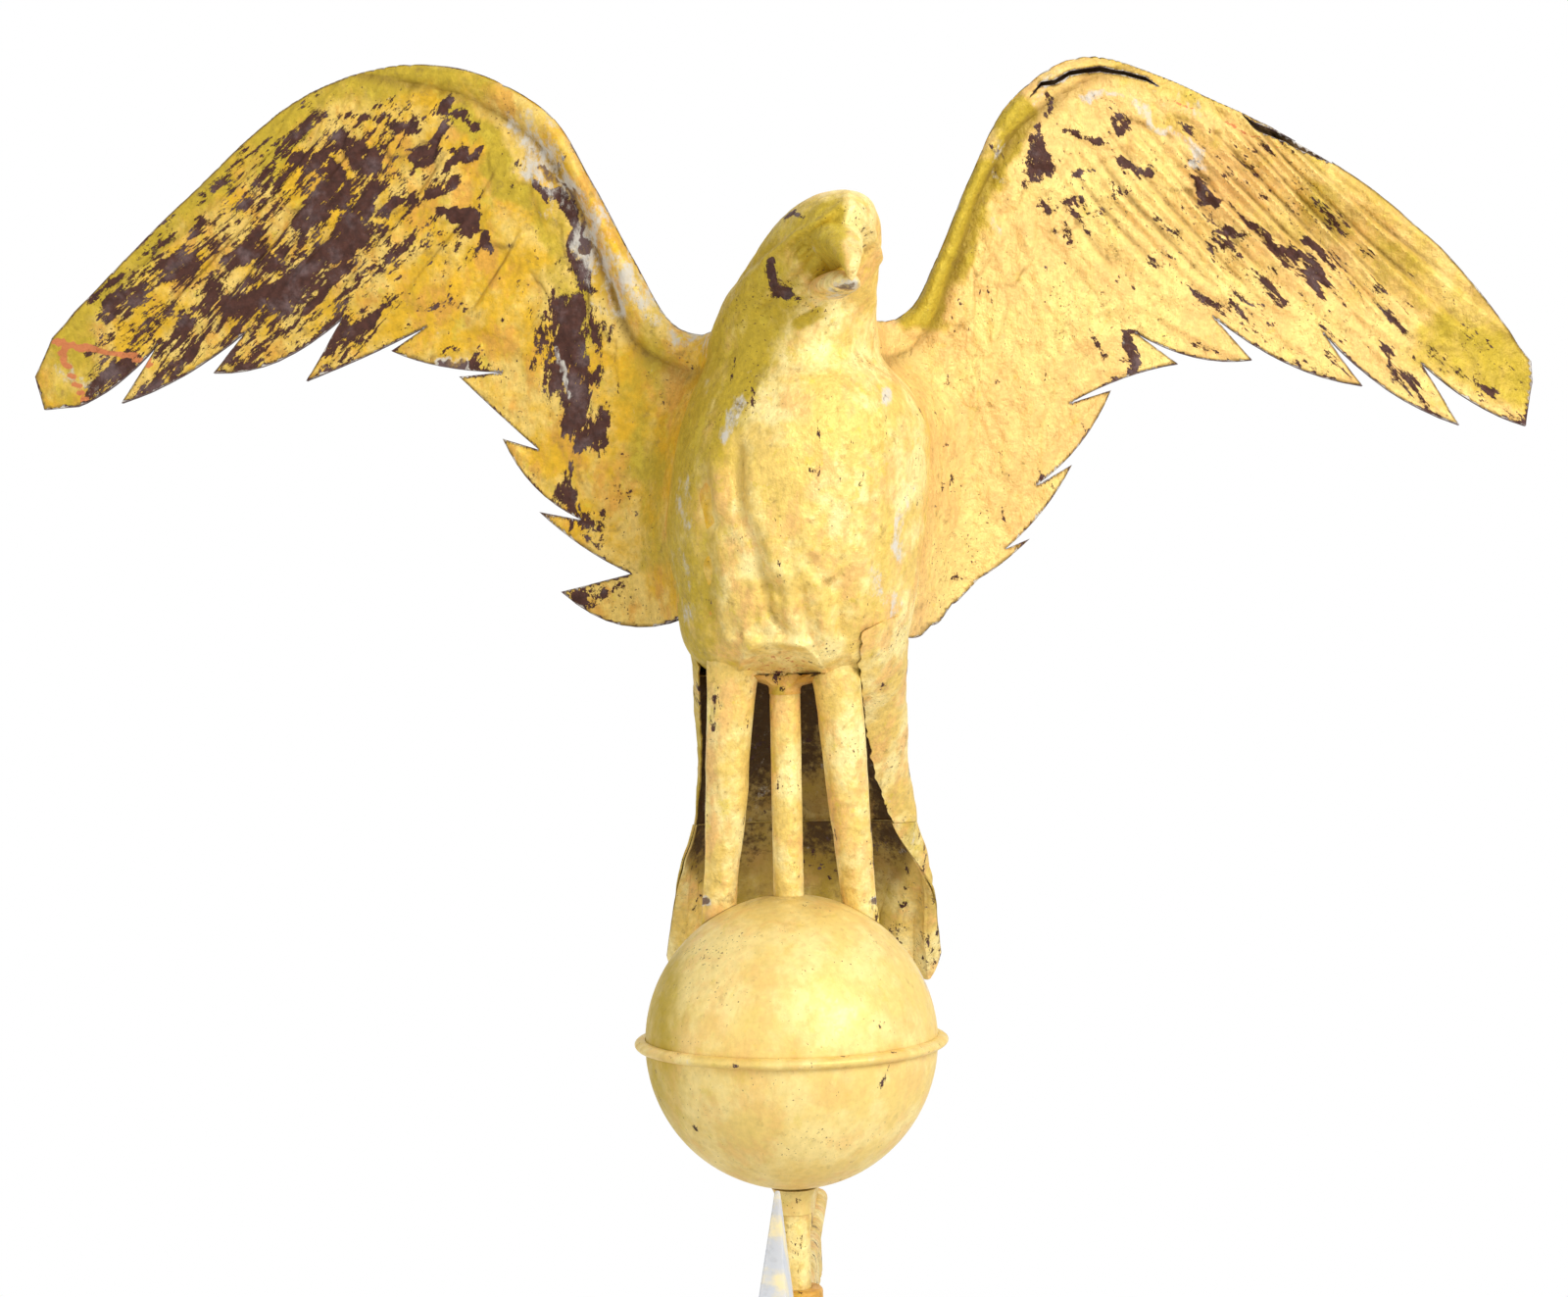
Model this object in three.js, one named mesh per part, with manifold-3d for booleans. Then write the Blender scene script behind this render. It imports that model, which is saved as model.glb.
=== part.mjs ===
// Eagle weathervane: a gilded sheet-copper eagle on a ball, with an arrow, turning on a fixed steel spindle.
// Millimetres, +Z up. The eagle and the arrow face -Y, and the origin is the centre of the spindle's foot.
// Left and right are the eagle's own: its left wing points along +X.
import * as THREE from "three";
import { mergeVertices } from "three/addons/utils/BufferGeometryUtils.js";
import Module from "manifold-3d";

const wasm = await Module();
wasm.setup();

// Clearances, sheet and cutting overrun
const GAP = 0.3;
const ROOT_GAP = 0.7;
const WEED = 0.05;
const WELD = 0.001;
const SHEET = 1.2;
const OVERRUN = 20;
const ROUND_SIDES = 24;
const BOSS_SIDES = 12;
const BALL_SIDES = 28;

// Fixed spindle and its collar
const SPINDLE_RADIUS = 6.35;
const SPINDLE_TOP = 560;
const SPINDLE_DOME = 4;
const COLLAR_RADIUS = 14;
const COLLAR_HEIGHT = 16;
const COLLAR_FOOT = 82;
const SCREW_RADIUS = 3;
const SCREW_PROUD = 2.5;
const WASHER_RADIUS = 12.5;
const WASHER_THICK = 2.5;

// Tube through the ball, and its pivot cap
const TUBE_RADIUS = 7.95;
const TUBE_WALL = 0.95;
const TUBE_TOP = 573;
const CAP_DEPTH = 12;

// Ball, its bead and the flare below it
const BALL_RADIUS = 76.2;
const BALL_CENTRE = 264.5;
const BALL_RINGS = 5;
const BEAD_HEIGHT = 7;
const BEAD_PROUD = 5.2;
const FLARE_RADIUS = 12;
const FLARE_HEIGHT = 13;

// Body: torso and head heights, widths and depths
const TORSO_FOOT = 456;
const TORSO_RISE = 162;
const CHEST_HALF = 68;
const CHEST_FRONT = 70;
const BACK_DEPTH = 64;
const HIP_WRAP = THREE.MathUtils.degToRad(40);
const SEAM_PLACE = 12;
const BRACE_HEIGHT = 546;
const BREAST_RELIEF = 1.8;
const HEAD_RISE = 80;
const HEAD_REACH = 58;
const HEAD_SHIFT = 29;
const HEAD_TURN = THREE.MathUtils.degToRad(15);
const BEAK_RISE = 48;

// Rump and tail, behind the ball
const RUMP_HEIGHT = 372;
const TAIL_LENGTH = 98;
const TAIL_HALF = 78;
const TAIL_REACH = 165;
const TAIL_ARCH = 16;
const TAIL_HOLLOW = 7;
const TAIL_SCALLOP = 9;
const TAIL_RELIEF = 2;
const TAIL_FEATHERS = 7;

// Legs
const LEG_TOP = 474;
const LEG_FOOT = 288;
const THIGH_RADIUS = 14.5;
const ANKLE_RADIUS = 8.2;
const HIP_SPREAD = 28;
const ANKLE_SPREAD = 42;
const HIP_PLACE = -4;
const ANKLE_PLACE = 12;

// Wings: outline sizes, the set of the wing, and its relief
const WING_REACH = 410;
const WING_RISE = 305;
const WING_FOOT = 486;
const WING_ROOT_PLACE = 12;
const WING_SWEEP = 55;
const WING_LEAN = 25;
const WING_CUP = 12;
const ARM_FRONT = 12;
const ARM_BACK = 8;
const COVERT_STEP = 3;
const FEATHER_RIDGE = 2.4;

// Beak
const BEAK_REACH = 34;
const BEAK_WIDTH = 12.5;
const BEAK_DEPTH = 11.5;
const JAW_DEPTH = 8.5;

// Arrow under the ball
const ARROW_HEIGHT = 122;
const SHAFT_RADIUS = 6;
const SHAFT_FRONT = 172;
const SHAFT_REAR = 285;
const HUB_RADIUS = 14;
const HUB_HEIGHT = 28;
const BOSS_RADIUS = 10;
const BOSS_REACH = 30;
const POINT_REACH = 290;
const BARB_PLACE = 150;
const BARB_NOTCH = 178;
const BARB_HEIGHT = 96;
const HEAD_THICK = 26;
const EDGE_THICK = 2.4;
const SOCKET_DEPTH = 12;
const SOCKET_WALL = 3;
const FLETCH_ROOT = 165;
const FLETCH_LENGTH = 120;
const FLETCH_HEIGHT = 52;
const FLETCH_RAKE = 26;
const FLETCH_TEETH = 6;
const FLETCH_NICK = 5;

// Shares of the breast: height in the torso's rise, middle and half width in the chest's, depth before the seam
const BREAST_SHARES = [
  [0.0, 0.06, 0.62, 0.42],
  [0.05, 0.07, 0.78, 0.6],
  [0.13, 0.08, 0.88, 0.72],
  [0.28, 0.1, 0.94, 0.86],
  [0.45, 0.1, 1.0, 0.95],
  [0.62, 0.14, 1.0, 1.0],
  [0.78, 0.18, 0.97, 0.98],
  [0.9, 0.17, 0.86, 0.86],
  [1.0, 0.12, 0.7, 0.72],
];
// Shares of the back: height from rump to neck, middle, half width, set back towards the tail, depth behind that
const BACK_SHARES = [
  [0.0, 0.07, 0.92, 0.52, 0.44],
  [0.12, 0.08, 0.86, 0.39, 0.5],
  [0.24, 0.09, 0.84, 0.25, 0.56],
  [0.34, 0.1, 0.84, 0.09, 0.73],
  [0.43, 0.1, 0.87, 0.0, 0.84],
  [0.52, 0.1, 0.94, 0.0, 0.87],
  [0.64, 0.1, 1.0, 0.0, 0.88],
  [0.75, 0.14, 1.0, 0.0, 0.87],
  [0.85, 0.18, 0.97, 0.0, 0.78],
  [0.93, 0.17, 0.86, 0.0, 0.6],
  [1.0, 0.12, 0.7, 0.0, 0.38],
];
// Shares of the head: height in its rise, shift, half width, reach forward, depth before and behind its middle
const HEAD_SHARES = [
  [0.0, 0.28, 0.7, 0.0, 0.72, 0.38],
  [0.2, 0.29, 0.64, 0.2, 0.69, 0.43],
  [0.4, 0.45, 0.57, 0.45, 0.66, 0.46],
  [0.58, 0.68, 0.49, 0.7, 0.68, 0.5],
  [0.75, 0.9, 0.41, 0.9, 0.62, 0.5],
  [0.88, 1.04, 0.31, 1.0, 0.5, 0.42],
  [0.96, 1.13, 0.2, 1.0, 0.32, 0.26],
  [1.0, 1.18, 0.0, 1.0, 0.0, 0.0],
];
// Shares of the beak's two halves along their curves: reach forward, drop, half width, half depth
const BEAK_SHARES = [
  [-0.5, 0.0, 1.0, 1.0],
  [0.15, 0.02, 1.0, 0.96],
  [0.5, -0.04, 0.86, 0.82],
  [0.8, -0.18, 0.62, 0.62],
  [0.98, -0.4, 0.36, 0.4],
  [1.0, -0.62, 0.1, 0.12],
];
const JAW_SHARES = [
  [-0.5, -0.58, 0.85, 1.0],
  [0.2, -0.6, 0.82, 0.92],
  [0.55, -0.62, 0.66, 0.7],
  [0.8, -0.6, 0.4, 0.45],
  [0.9, -0.58, 0.12, 0.15],
];

// Shares of a wing's reach and rise along its leading edge, from the root over the wrist to the tip
const RIGHT_LEAD_SHARES = [
  [0.04, 0.49],
  [0.134, 0.509],
  [0.192, 0.635],
  [0.245, 0.773],
  [0.308, 0.903],
  [0.451, 0.988],
  [0.627, 0.945],
  [0.814, 0.747],
  [0.998, 0.532],
];
const LEFT_LEAD_SHARES = [
  [0.05, 0.49],
  [0.157, 0.52],
  [0.203, 0.617],
  [0.249, 0.758],
  [0.308, 0.888],
  [0.41, 0.961],
  [0.57, 0.883],
  [0.75, 0.745],
  [0.879, 0.591],
  [0.984, 0.418],
];
// Shares of the wing tip, then of each feather's point, its belly's control and its notch, from tip to root
const RIGHT_TIP_SHARES = [
  [1.033, 0.472],
  [1.022, 0.411],
];
const LEFT_TIP_SHARES = [
  [0.994, 0.396],
  [0.989, 0.359],
];
const RIGHT_TEETH_SHARES = [
  [0.973, 0.414, 0.92, 0.433, 0.852, 0.522],
  [0.908, 0.417, 0.819, 0.448, 0.728, 0.537],
  [0.775, 0.465, 0.685, 0.455, 0.592, 0.554],
  [0.644, 0.444, 0.568, 0.479, 0.475, 0.533],
  [0.525, 0.492, 0.468, 0.454, 0.373, 0.446],
  [0.432, 0.441, 0.38, 0.371, 0.327, 0.307],
  [0.375, 0.328, 0.345, 0.229, 0.272, 0.18],
  [0.328, 0.196, 0.272, 0.123, 0.207, 0.082],
  [0.302, 0.053, 0.224, -0.046, 0.133, 0.002],
];
const LEFT_TEETH_SHARES = [
  [0.984, 0.317, 0.91, 0.347, 0.844, 0.43],
  [0.894, 0.32, 0.792, 0.366, 0.712, 0.487],
  [0.764, 0.391, 0.659, 0.414, 0.566, 0.518],
  [0.617, 0.439, 0.542, 0.427, 0.463, 0.49],
  [0.519, 0.434, 0.446, 0.42, 0.375, 0.367],
  [0.43, 0.389, 0.397, 0.285, 0.33, 0.224],
  [0.377, 0.259, 0.344, 0.174, 0.288, 0.113],
  [0.32, 0.13, 0.243, 0.03, 0.157, -0.041],
];
// Shares of the feather fan: where the feathers leave the arm, bend, and pass beyond the serrated edge
const FAN_START_SHARES = [
  [0.0, 0.5],
  [0.15, 0.56],
  [0.2, 0.7],
  [0.24, 0.84],
  [0.3, 0.96],
  [0.39, 1.02],
  [0.47, 1.04],
  [0.52, 1.05],
  [0.55, 1.05],
  [0.57, 1.05],
  [0.6, 1.05],
];
const FAN_BEND_SHARES = [
  [0.05, 0.25],
  [0.19, 0.35],
  [0.25, 0.48],
  [0.3, 0.61],
  [0.36, 0.7],
  [0.44, 0.75],
  [0.52, 0.79],
  [0.6, 0.82],
  [0.68, 0.86],
  [0.76, 0.9],
  [0.84, 0.94],
];
const FAN_END_SHARES = [
  [0.02, -0.12],
  [0.33, -0.1],
  [0.38, 0.1],
  [0.42, 0.28],
  [0.47, 0.36],
  [0.56, 0.39],
  [0.68, 0.36],
  [0.82, 0.33],
  [0.96, 0.25],
  [1.12, 0.28],
  [1.12, 0.55],
];
const FAN_ROW_SHARES = [-0.08, 0, 0.06, 0.16, 0.23, 0.35, 0.46, 0.64, 0.82, 1.06];
const ARM_SHARE = 0.22;
const COVERT_SHARE = 0.45;
const FLANGE_SHARE = 0.84;
const RIDGES_PER_FEATHER = 2;

const gilt = { color: 0xd8b45a, roughness: 0.42, metalness: 0.75 };
const giltWing = { color: 0xc99a42, roughness: 0.48, metalness: 0.75 };
const giltBall = { color: 0xdcc070, roughness: 0.38, metalness: 0.75 };
const copper = { color: 0xb07a45, roughness: 0.5, metalness: 0.8 };
const zinc = { color: 0xb4b8be, roughness: 0.6, metalness: 0.6 };
const steel = { color: 0x8c9096, roughness: 0.35, metalness: 0.9 };

const weathervane = new THREE.Group();

// A manifold solid from a geometry, with doubled points joined, flat slivers dropped and faces turned outwards.
function solidOf(geometry) {
  const bare = geometry.clone();
  bare.deleteAttribute("normal");
  bare.deleteAttribute("uv");
  const merged = mergeVertices(bare, WELD);
  const kept = [];
  const index = merged.index.array;
  for (let i = 0; i < index.length; i += 3) {
    const [a, b, c] = [index[i], index[i + 1], index[i + 2]];
    if (a !== b && b !== c && c !== a) kept.push(a, b, c);
  }
  const make = (triangles) => {
    const vertProperties = merged.attributes.position.array;
    return new wasm.Manifold(
      new wasm.Mesh({ numProp: 3, vertProperties, triVerts: new Uint32Array(triangles) }),
    );
  };
  const first = make(kept);
  if (first.volume() > 0) return first;
  return make(kept.reverse());
}

// A named mesh from a manifold solid, with the slivers that its cuts left weeded out.
function addPiece(name, solid, look) {
  const made = solid.simplify(WEED).getMesh();
  const places = new Float32Array(made.numVert * 3);
  for (let i = 0; i < made.numVert; i++) {
    const from = i * made.numProp;
    places.set(made.vertProperties.subarray(from, from + 3), i * 3);
  }
  const geometry = new THREE.BufferGeometry();
  geometry.setAttribute("position", new THREE.BufferAttribute(places, 3));
  geometry.setIndex(new THREE.BufferAttribute(made.triVerts, 1));
  geometry.computeVertexNormals();
  const mesh = new THREE.Mesh(geometry, new THREE.MeshStandardMaterial(look));
  mesh.name = name;
  weathervane.add(mesh);
}

// The largest body of a solid that a cut has left in several.
function mainBody(solid) {
  const bodies = solid.decompose();
  return bodies.reduce((best, body) => (body.volume() > best.volume() ? body : best));
}

// A closed solid between two grids of points, given by functions of row and column. A ringed grid closes on itself.
function sheetSolid(rows, columns, outer, inner, ringed = false) {
  const across = ringed ? columns : columns + 1;
  const places = [];
  const index = [];
  for (const face of [outer, inner]) {
    for (let row = 0; row <= rows; row++) {
      for (let column = 0; column < across; column++) places.push(...face(row, column).toArray());
    }
  }
  const layer = (rows + 1) * across;
  const at = (side, row, column) => side * layer + row * across + (column % across);
  const quad = (a, b, c, d) => index.push(a, b, c, a, c, d);
  for (let row = 0; row < rows; row++) {
    for (let column = 0; column < columns; column++) {
      const [r, c] = [row + 1, column + 1];
      quad(at(0, row, column), at(0, row, c), at(0, r, c), at(0, r, column));
      quad(at(1, row, column), at(1, r, column), at(1, r, c), at(1, row, c));
    }
  }
  for (let column = 0; column < columns; column++) {
    const c = column + 1;
    quad(at(0, 0, column), at(1, 0, column), at(1, 0, c), at(0, 0, c));
    quad(at(0, rows, column), at(0, rows, c), at(1, rows, c), at(1, rows, column));
  }
  for (let row = 0; row < rows && !ringed; row++) {
    const r = row + 1;
    quad(at(0, row, 0), at(0, r, 0), at(1, r, 0), at(1, row, 0));
    quad(at(0, row, columns), at(1, row, columns), at(1, r, columns), at(0, r, columns));
  }
  const geometry = new THREE.BufferGeometry();
  geometry.setAttribute("position", new THREE.BufferAttribute(new Float32Array(places), 3));
  geometry.setIndex(index);
  return solidOf(geometry);
}

// A loft: a solid through rings of points, closed by a fan at each end. ring(row, turn) gives a point.
function loftSolid(rows, columns, ring) {
  const places = [];
  const index = [];
  for (let row = 0; row <= rows; row++) {
    for (let column = 0; column < columns; column++) {
      places.push(...ring(row, (column / columns) * 2 * Math.PI).toArray());
    }
  }
  const at = (row, column) => row * columns + (column % columns);
  for (let row = 0; row < rows; row++) {
    for (let column = 0; column < columns; column++) {
      index.push(at(row, column), at(row, column + 1), at(row + 1, column + 1));
      index.push(at(row, column), at(row + 1, column + 1), at(row + 1, column));
    }
  }
  for (let column = 1; column + 1 < columns; column++) {
    index.push(at(0, 0), at(0, column + 1), at(0, column));
    index.push(at(rows, 0), at(rows, column), at(rows, column + 1));
  }
  const geometry = new THREE.BufferGeometry();
  geometry.setAttribute("position", new THREE.BufferAttribute(new Float32Array(places), 3));
  geometry.setIndex(index);
  return solidOf(geometry);
}

// A turned piece about +Z. The profile is a list of radius and height, and closes on itself.
function turned(profile, sides = ROUND_SIDES) {
  const points = profile.map(([radius, height]) => new THREE.Vector2(radius, height));
  const onAxis = points[0].x === 0 && points[points.length - 1].x === 0;
  if (!onAxis) points.push(points[0].clone());
  const lathe = new THREE.LatheGeometry(points, sides);
  return solidOf(lathe.rotateX(Math.PI / 2));
}

// A plain cylinder from one point to another.
function rod(from, to, radius, sides = ROUND_SIDES) {
  const along = new THREE.Vector3().subVectors(to, from);
  const cylinder = new THREE.CylinderGeometry(radius, radius, along.length(), sides);
  const turn = new THREE.Quaternion().setFromUnitVectors(
    new THREE.Vector3(0, 1, 0),
    along.clone().normalize(),
  );
  const middle = new THREE.Vector3().addVectors(from, to).multiplyScalar(0.5);
  return solidOf(cylinder.applyQuaternion(turn).translate(middle.x, middle.y, middle.z));
}

// A flat outline in X and Z, extruded along Y from near to far.
function prism(outline, near, far) {
  const shape = new THREE.Shape(outline);
  const geometry = new THREE.ExtrudeGeometry(shape, { depth: far - near, bevelEnabled: false });
  geometry.rotateX(Math.PI / 2);
  geometry.translate(0, far, 0);
  return solidOf(geometry);
}

// The value between neighbouring rows of a table of shares, at a place from 0 to 1 along it.
function blend(table, place, entry) {
  const spot = THREE.MathUtils.clamp(place, 0, 1) * (table.length - 1);
  const row = Math.min(Math.floor(spot), table.length - 2);
  return THREE.MathUtils.lerp(table[row][entry], table[row + 1][entry], spot - row);
}

// A closed solid sphere about the ball's centre.
function ballBody(radius) {
  const outside = radius / Math.cos(Math.PI / BALL_SIDES / 2);
  const sphere = new THREE.SphereGeometry(outside, 2 * BALL_SIDES, BALL_SIDES);
  return solidOf(sphere.rotateX(Math.PI / 2).translate(0, 0, BALL_CENTRE));
}

// Fixed spindle, collar, screw and washer
function buildMast() {
  const dome = SPINDLE_TOP - SPINDLE_DOME;
  const spindle = turned([
    [0, 0],
    [SPINDLE_RADIUS, 0],
    [SPINDLE_RADIUS, dome],
    [SPINDLE_RADIUS * Math.SQRT1_2, SPINDLE_TOP - SPINDLE_DOME * (1 - Math.SQRT1_2)],
    [0, SPINDLE_TOP],
  ]);
  const collarTop = COLLAR_FOOT + COLLAR_HEIGHT;
  const bore = SPINDLE_RADIUS + GAP;
  const screwHeight = COLLAR_FOOT + COLLAR_HEIGHT / 2;
  const screwFrom = new THREE.Vector3(bore + GAP, 0, screwHeight);
  const screwTo = new THREE.Vector3(COLLAR_RADIUS + SCREW_PROUD, 0, screwHeight);
  const collar = turned([
    [bore, COLLAR_FOOT],
    [COLLAR_RADIUS, COLLAR_FOOT],
    [COLLAR_RADIUS, collarTop],
    [bore, collarTop],
  ]);
  const hole = rod(
    new THREE.Vector3(0, 0, screwHeight),
    new THREE.Vector3(COLLAR_RADIUS + OVERRUN, 0, screwHeight),
    SCREW_RADIUS + GAP,
    BOSS_SIDES,
  );
  const washerFoot = collarTop + GAP;
  addPiece("spindle_rod", spindle, steel);
  addPiece("spindle_collar", collar.subtract(hole), steel);
  addPiece("collar_screw", rod(screwFrom, screwTo, SCREW_RADIUS, BOSS_SIDES), steel);
  const washer = turned([
    [bore, washerFoot],
    [WASHER_RADIUS, washerFoot],
    [WASHER_RADIUS, washerFoot + WASHER_THICK],
    [bore, washerFoot + WASHER_THICK],
  ]);
  addPiece("thrust_washer", washer, steel);
}

// The height of the tube's lower end, one gap above the washer.
function tubeFoot() {
  return COLLAR_FOOT + COLLAR_HEIGHT + WASHER_THICK + 2 * GAP;
}

// Tube and the pivot cap that rides on the spindle
function buildTube() {
  const bore = TUBE_RADIUS - TUBE_WALL;
  const tube = turned([
    [bore, tubeFoot()],
    [TUBE_RADIUS, tubeFoot()],
    [TUBE_RADIUS, TUBE_TOP],
    [bore, TUBE_TOP],
  ]);
  const capFoot = SPINDLE_TOP + GAP;
  const cap = turned([
    [0, capFoot],
    [bore - GAP, capFoot],
    [bore - GAP, capFoot + CAP_DEPTH],
    [0, capFoot + CAP_DEPTH],
  ]);
  addPiece("spindle_tube", tube, copper);
  addPiece("pivot_cap", cap, steel);
}

// One half of the ball as a spun shell with a hole for the tube. way is 1 for the upper half, -1 for the lower.
function ballHalf(way) {
  const hole = TUBE_RADIUS + GAP;
  const arc = (radius) => {
    const from = Math.asin(GAP / 2 / radius);
    const to = Math.acos(hole / radius);
    const points = [];
    for (let step = 0; step <= BALL_RINGS; step++) {
      const lift = THREE.MathUtils.lerp(from, to, step / BALL_RINGS);
      points.push([radius * Math.cos(lift), BALL_CENTRE + way * radius * Math.sin(lift)]);
    }
    return points;
  };
  return turned([...arc(BALL_RADIUS), ...arc(BALL_RADIUS - SHEET).reverse()], BALL_SIDES);
}

// Ball halves, bead and flare
function buildBall() {
  const beadFoot = BALL_RADIUS + GAP;
  const bead = [];
  const beadSteps = 6;
  for (let step = 0; step <= beadSteps; step++) {
    const turn = Math.PI * (step / beadSteps - 0.5);
    bead.push([
      beadFoot + BEAD_PROUD * Math.cos(turn),
      BALL_CENTRE + (BEAD_HEIGHT / 2) * Math.sin(turn),
    ]);
  }
  addPiece("ball_upper", ballHalf(1), giltBall);
  addPiece("ball_lower", ballHalf(-1), giltBall);
  addPiece("ball_bead", turned(bead, BALL_SIDES), giltBall);
  const bore = TUBE_RADIUS + GAP;
  const flareTop = BALL_CENTRE - BALL_RADIUS - GAP;
  const flareFoot = flareTop - FLARE_HEIGHT;
  const flare = turned([
    [bore, flareFoot],
    [bore + SHEET / 2, flareFoot],
    [bore + SHEET, flareFoot + FLARE_HEIGHT * 0.55],
    [THREE.MathUtils.lerp(bore + SHEET, FLARE_RADIUS, 0.4), flareFoot + FLARE_HEIGHT * 0.85],
    [FLARE_RADIUS, flareTop],
    [bore, flareTop],
  ]);
  addPiece("stem_flare", flare, giltBall);
}

// The value of a table of shares at a height, smooth between its rows. A row's first entry is its height.
function atHeight(table, height, entry) {
  const last = table.length - 1;
  let row = 0;
  while (row < last - 1 && table[row + 1][0] < height) row++;
  const slope = (k) => {
    const [below, above] = [table[Math.max(k - 1, 0)], table[Math.min(k + 1, last)]];
    return (above[entry] - below[entry]) / (above[0] - below[0]);
  };
  const [low, high] = [table[row], table[row + 1]];
  const span = high[0] - low[0];
  const t = THREE.MathUtils.clamp((height - low[0]) / span, 0, 1);
  const lift = t * t * (3 - 2 * t);
  const start = t * (1 - t) ** 2 * span * slope(row);
  const end = t * t * (t - 1) * span * slope(row + 1);
  return low[entry] * (1 - lift) + high[entry] * lift + start + end;
}

// The height of the joint between torso and head.
const NECK_HEIGHT = TORSO_FOOT + TORSO_RISE;

// A point of the breast at a share of the torso's rise and an angle from straight ahead.
function breastPoint(height, turn, grow) {
  const half = CHEST_HALF * atHeight(BREAST_SHARES, height, 2) + grow;
  const depth = CHEST_FRONT * atHeight(BREAST_SHARES, height, 3) + grow;
  return new THREE.Vector3(
    CHEST_HALF * atHeight(BREAST_SHARES, height, 1) + half * Math.sin(turn),
    SEAM_PLACE - depth * Math.cos(turn),
    TORSO_FOOT + TORSO_RISE * height,
  );
}

// A point of the back at a share of the height from rump to neck and an angle from straight behind.
function backPoint(height, turn, grow) {
  const half = CHEST_HALF * atHeight(BACK_SHARES, height, 2) + grow;
  const set = (TAIL_REACH - SEAM_PLACE) * Math.max(atHeight(BACK_SHARES, height, 3), 0);
  const depth = BACK_DEPTH * atHeight(BACK_SHARES, height, 4) + grow;
  return new THREE.Vector3(
    CHEST_HALF * atHeight(BACK_SHARES, height, 1) + half * Math.sin(turn),
    SEAM_PLACE + set + depth * Math.cos(turn),
    THREE.MathUtils.lerp(RUMP_HEIGHT, NECK_HEIGHT, height),
  );
}

// A point of the neck and head at a share of their rise and an angle from the way the head faces.
function headPoint(height, turn, grow) {
  const ahead = Math.cos(turn) > 0;
  const full = ahead ? CHEST_FRONT : BACK_DEPTH;
  const depth = full * Math.max(atHeight(HEAD_SHARES, height, ahead ? 4 : 5), 0) + grow;
  const half = CHEST_HALF * Math.max(atHeight(HEAD_SHARES, height, 2), 0) + grow;
  const point = new THREE.Vector3(half * Math.sin(turn), -depth * Math.cos(turn), 0);
  const facing = HEAD_TURN * Math.min(2 * height, 1);
  point.applyAxisAngle(new THREE.Vector3(0, 0, 1), facing);
  point.x += HEAD_SHIFT * atHeight(HEAD_SHARES, height, 1);
  point.y += SEAM_PLACE - HEAD_REACH * atHeight(HEAD_SHARES, height, 3);
  point.z = NECK_HEIGHT + HEAD_RISE * height;
  return point;
}

// A raised scale pattern: rows of rounded feathers, each row set half a feather over.
function scales(across, down) {
  const row = Math.floor(down);
  const along = across + (row % 2) / 2;
  return Math.abs(Math.sin(Math.PI * along)) * (0.4 + 0.6 * (down - row));
}

// The closed body inside the torso's skin, grown by a clearance, for cutting what meets it.
function torsoBody(grow) {
  const rows = 24;
  return loftSolid(rows, 2 * ROUND_SIDES, (row, turn) => {
    const height = row / rows;
    const place = (TORSO_FOOT + TORSO_RISE * height - RUMP_HEIGHT) / (NECK_HEIGHT - RUMP_HEIGHT);
    const ahead = Math.cos(turn) >= 0;
    const point = ahead ? breastPoint(height, turn, grow) : backPoint(place, Math.PI - turn, grow);
    point.z += row === rows ? grow : 0;
    return point;
  });
}

// The closed body inside the breast alone, flat at the seam, grown by a clearance.
function breastBody(grow) {
  const rows = 16;
  return loftSolid(rows, 2 * ROUND_SIDES, (row, turn) => {
    const point = breastPoint(row / rows, turn, grow);
    if (Math.cos(turn) < 0) point.y = SEAM_PLACE + GAP / 4;
    return point;
  });
}

// The closed body of neck and head, grown by a clearance.
function headBody(grow) {
  const rows = 14;
  const reach = 0.99;
  return loftSolid(rows, ROUND_SIDES, (row, turn) => {
    const point = headPoint((reach * row) / rows, turn, grow);
    point.z -= row === 0 ? grow : 0;
    return point;
  });
}

// A leg's outer skin or its solid body. side is 1 for the left leg, and grow widens it.
function legRing(side, place, turn, grow) {
  const swell = Math.sin(Math.PI * Math.min(place * 1.6, 1)) * 0.12;
  const radius = THREE.MathUtils.lerp(THIGH_RADIUS, ANKLE_RADIUS, place ** 0.8) * (1 + swell);
  const spread = THREE.MathUtils.lerp(HIP_SPREAD, ANKLE_SPREAD, place ** 1.6);
  return new THREE.Vector3(
    side * spread + (radius + grow) * Math.sin(turn),
    THREE.MathUtils.lerp(HIP_PLACE, ANKLE_PLACE, place) - (radius + grow) * Math.cos(turn),
    THREE.MathUtils.lerp(LEG_TOP, LEG_FOOT, place),
  );
}

const LEG_ROWS = 8;
const LEG_SIDES = 12;

// Everything inside a leg's skin, grown by a clearance, and reaching past both its ends.
function legBody(side, grow) {
  return loftSolid(LEG_ROWS, LEG_SIDES, (row, turn) => {
    const point = legRing(side, row / LEG_ROWS, turn, grow);
    if (row === 0) point.z += grow;
    return point;
  });
}

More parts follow.
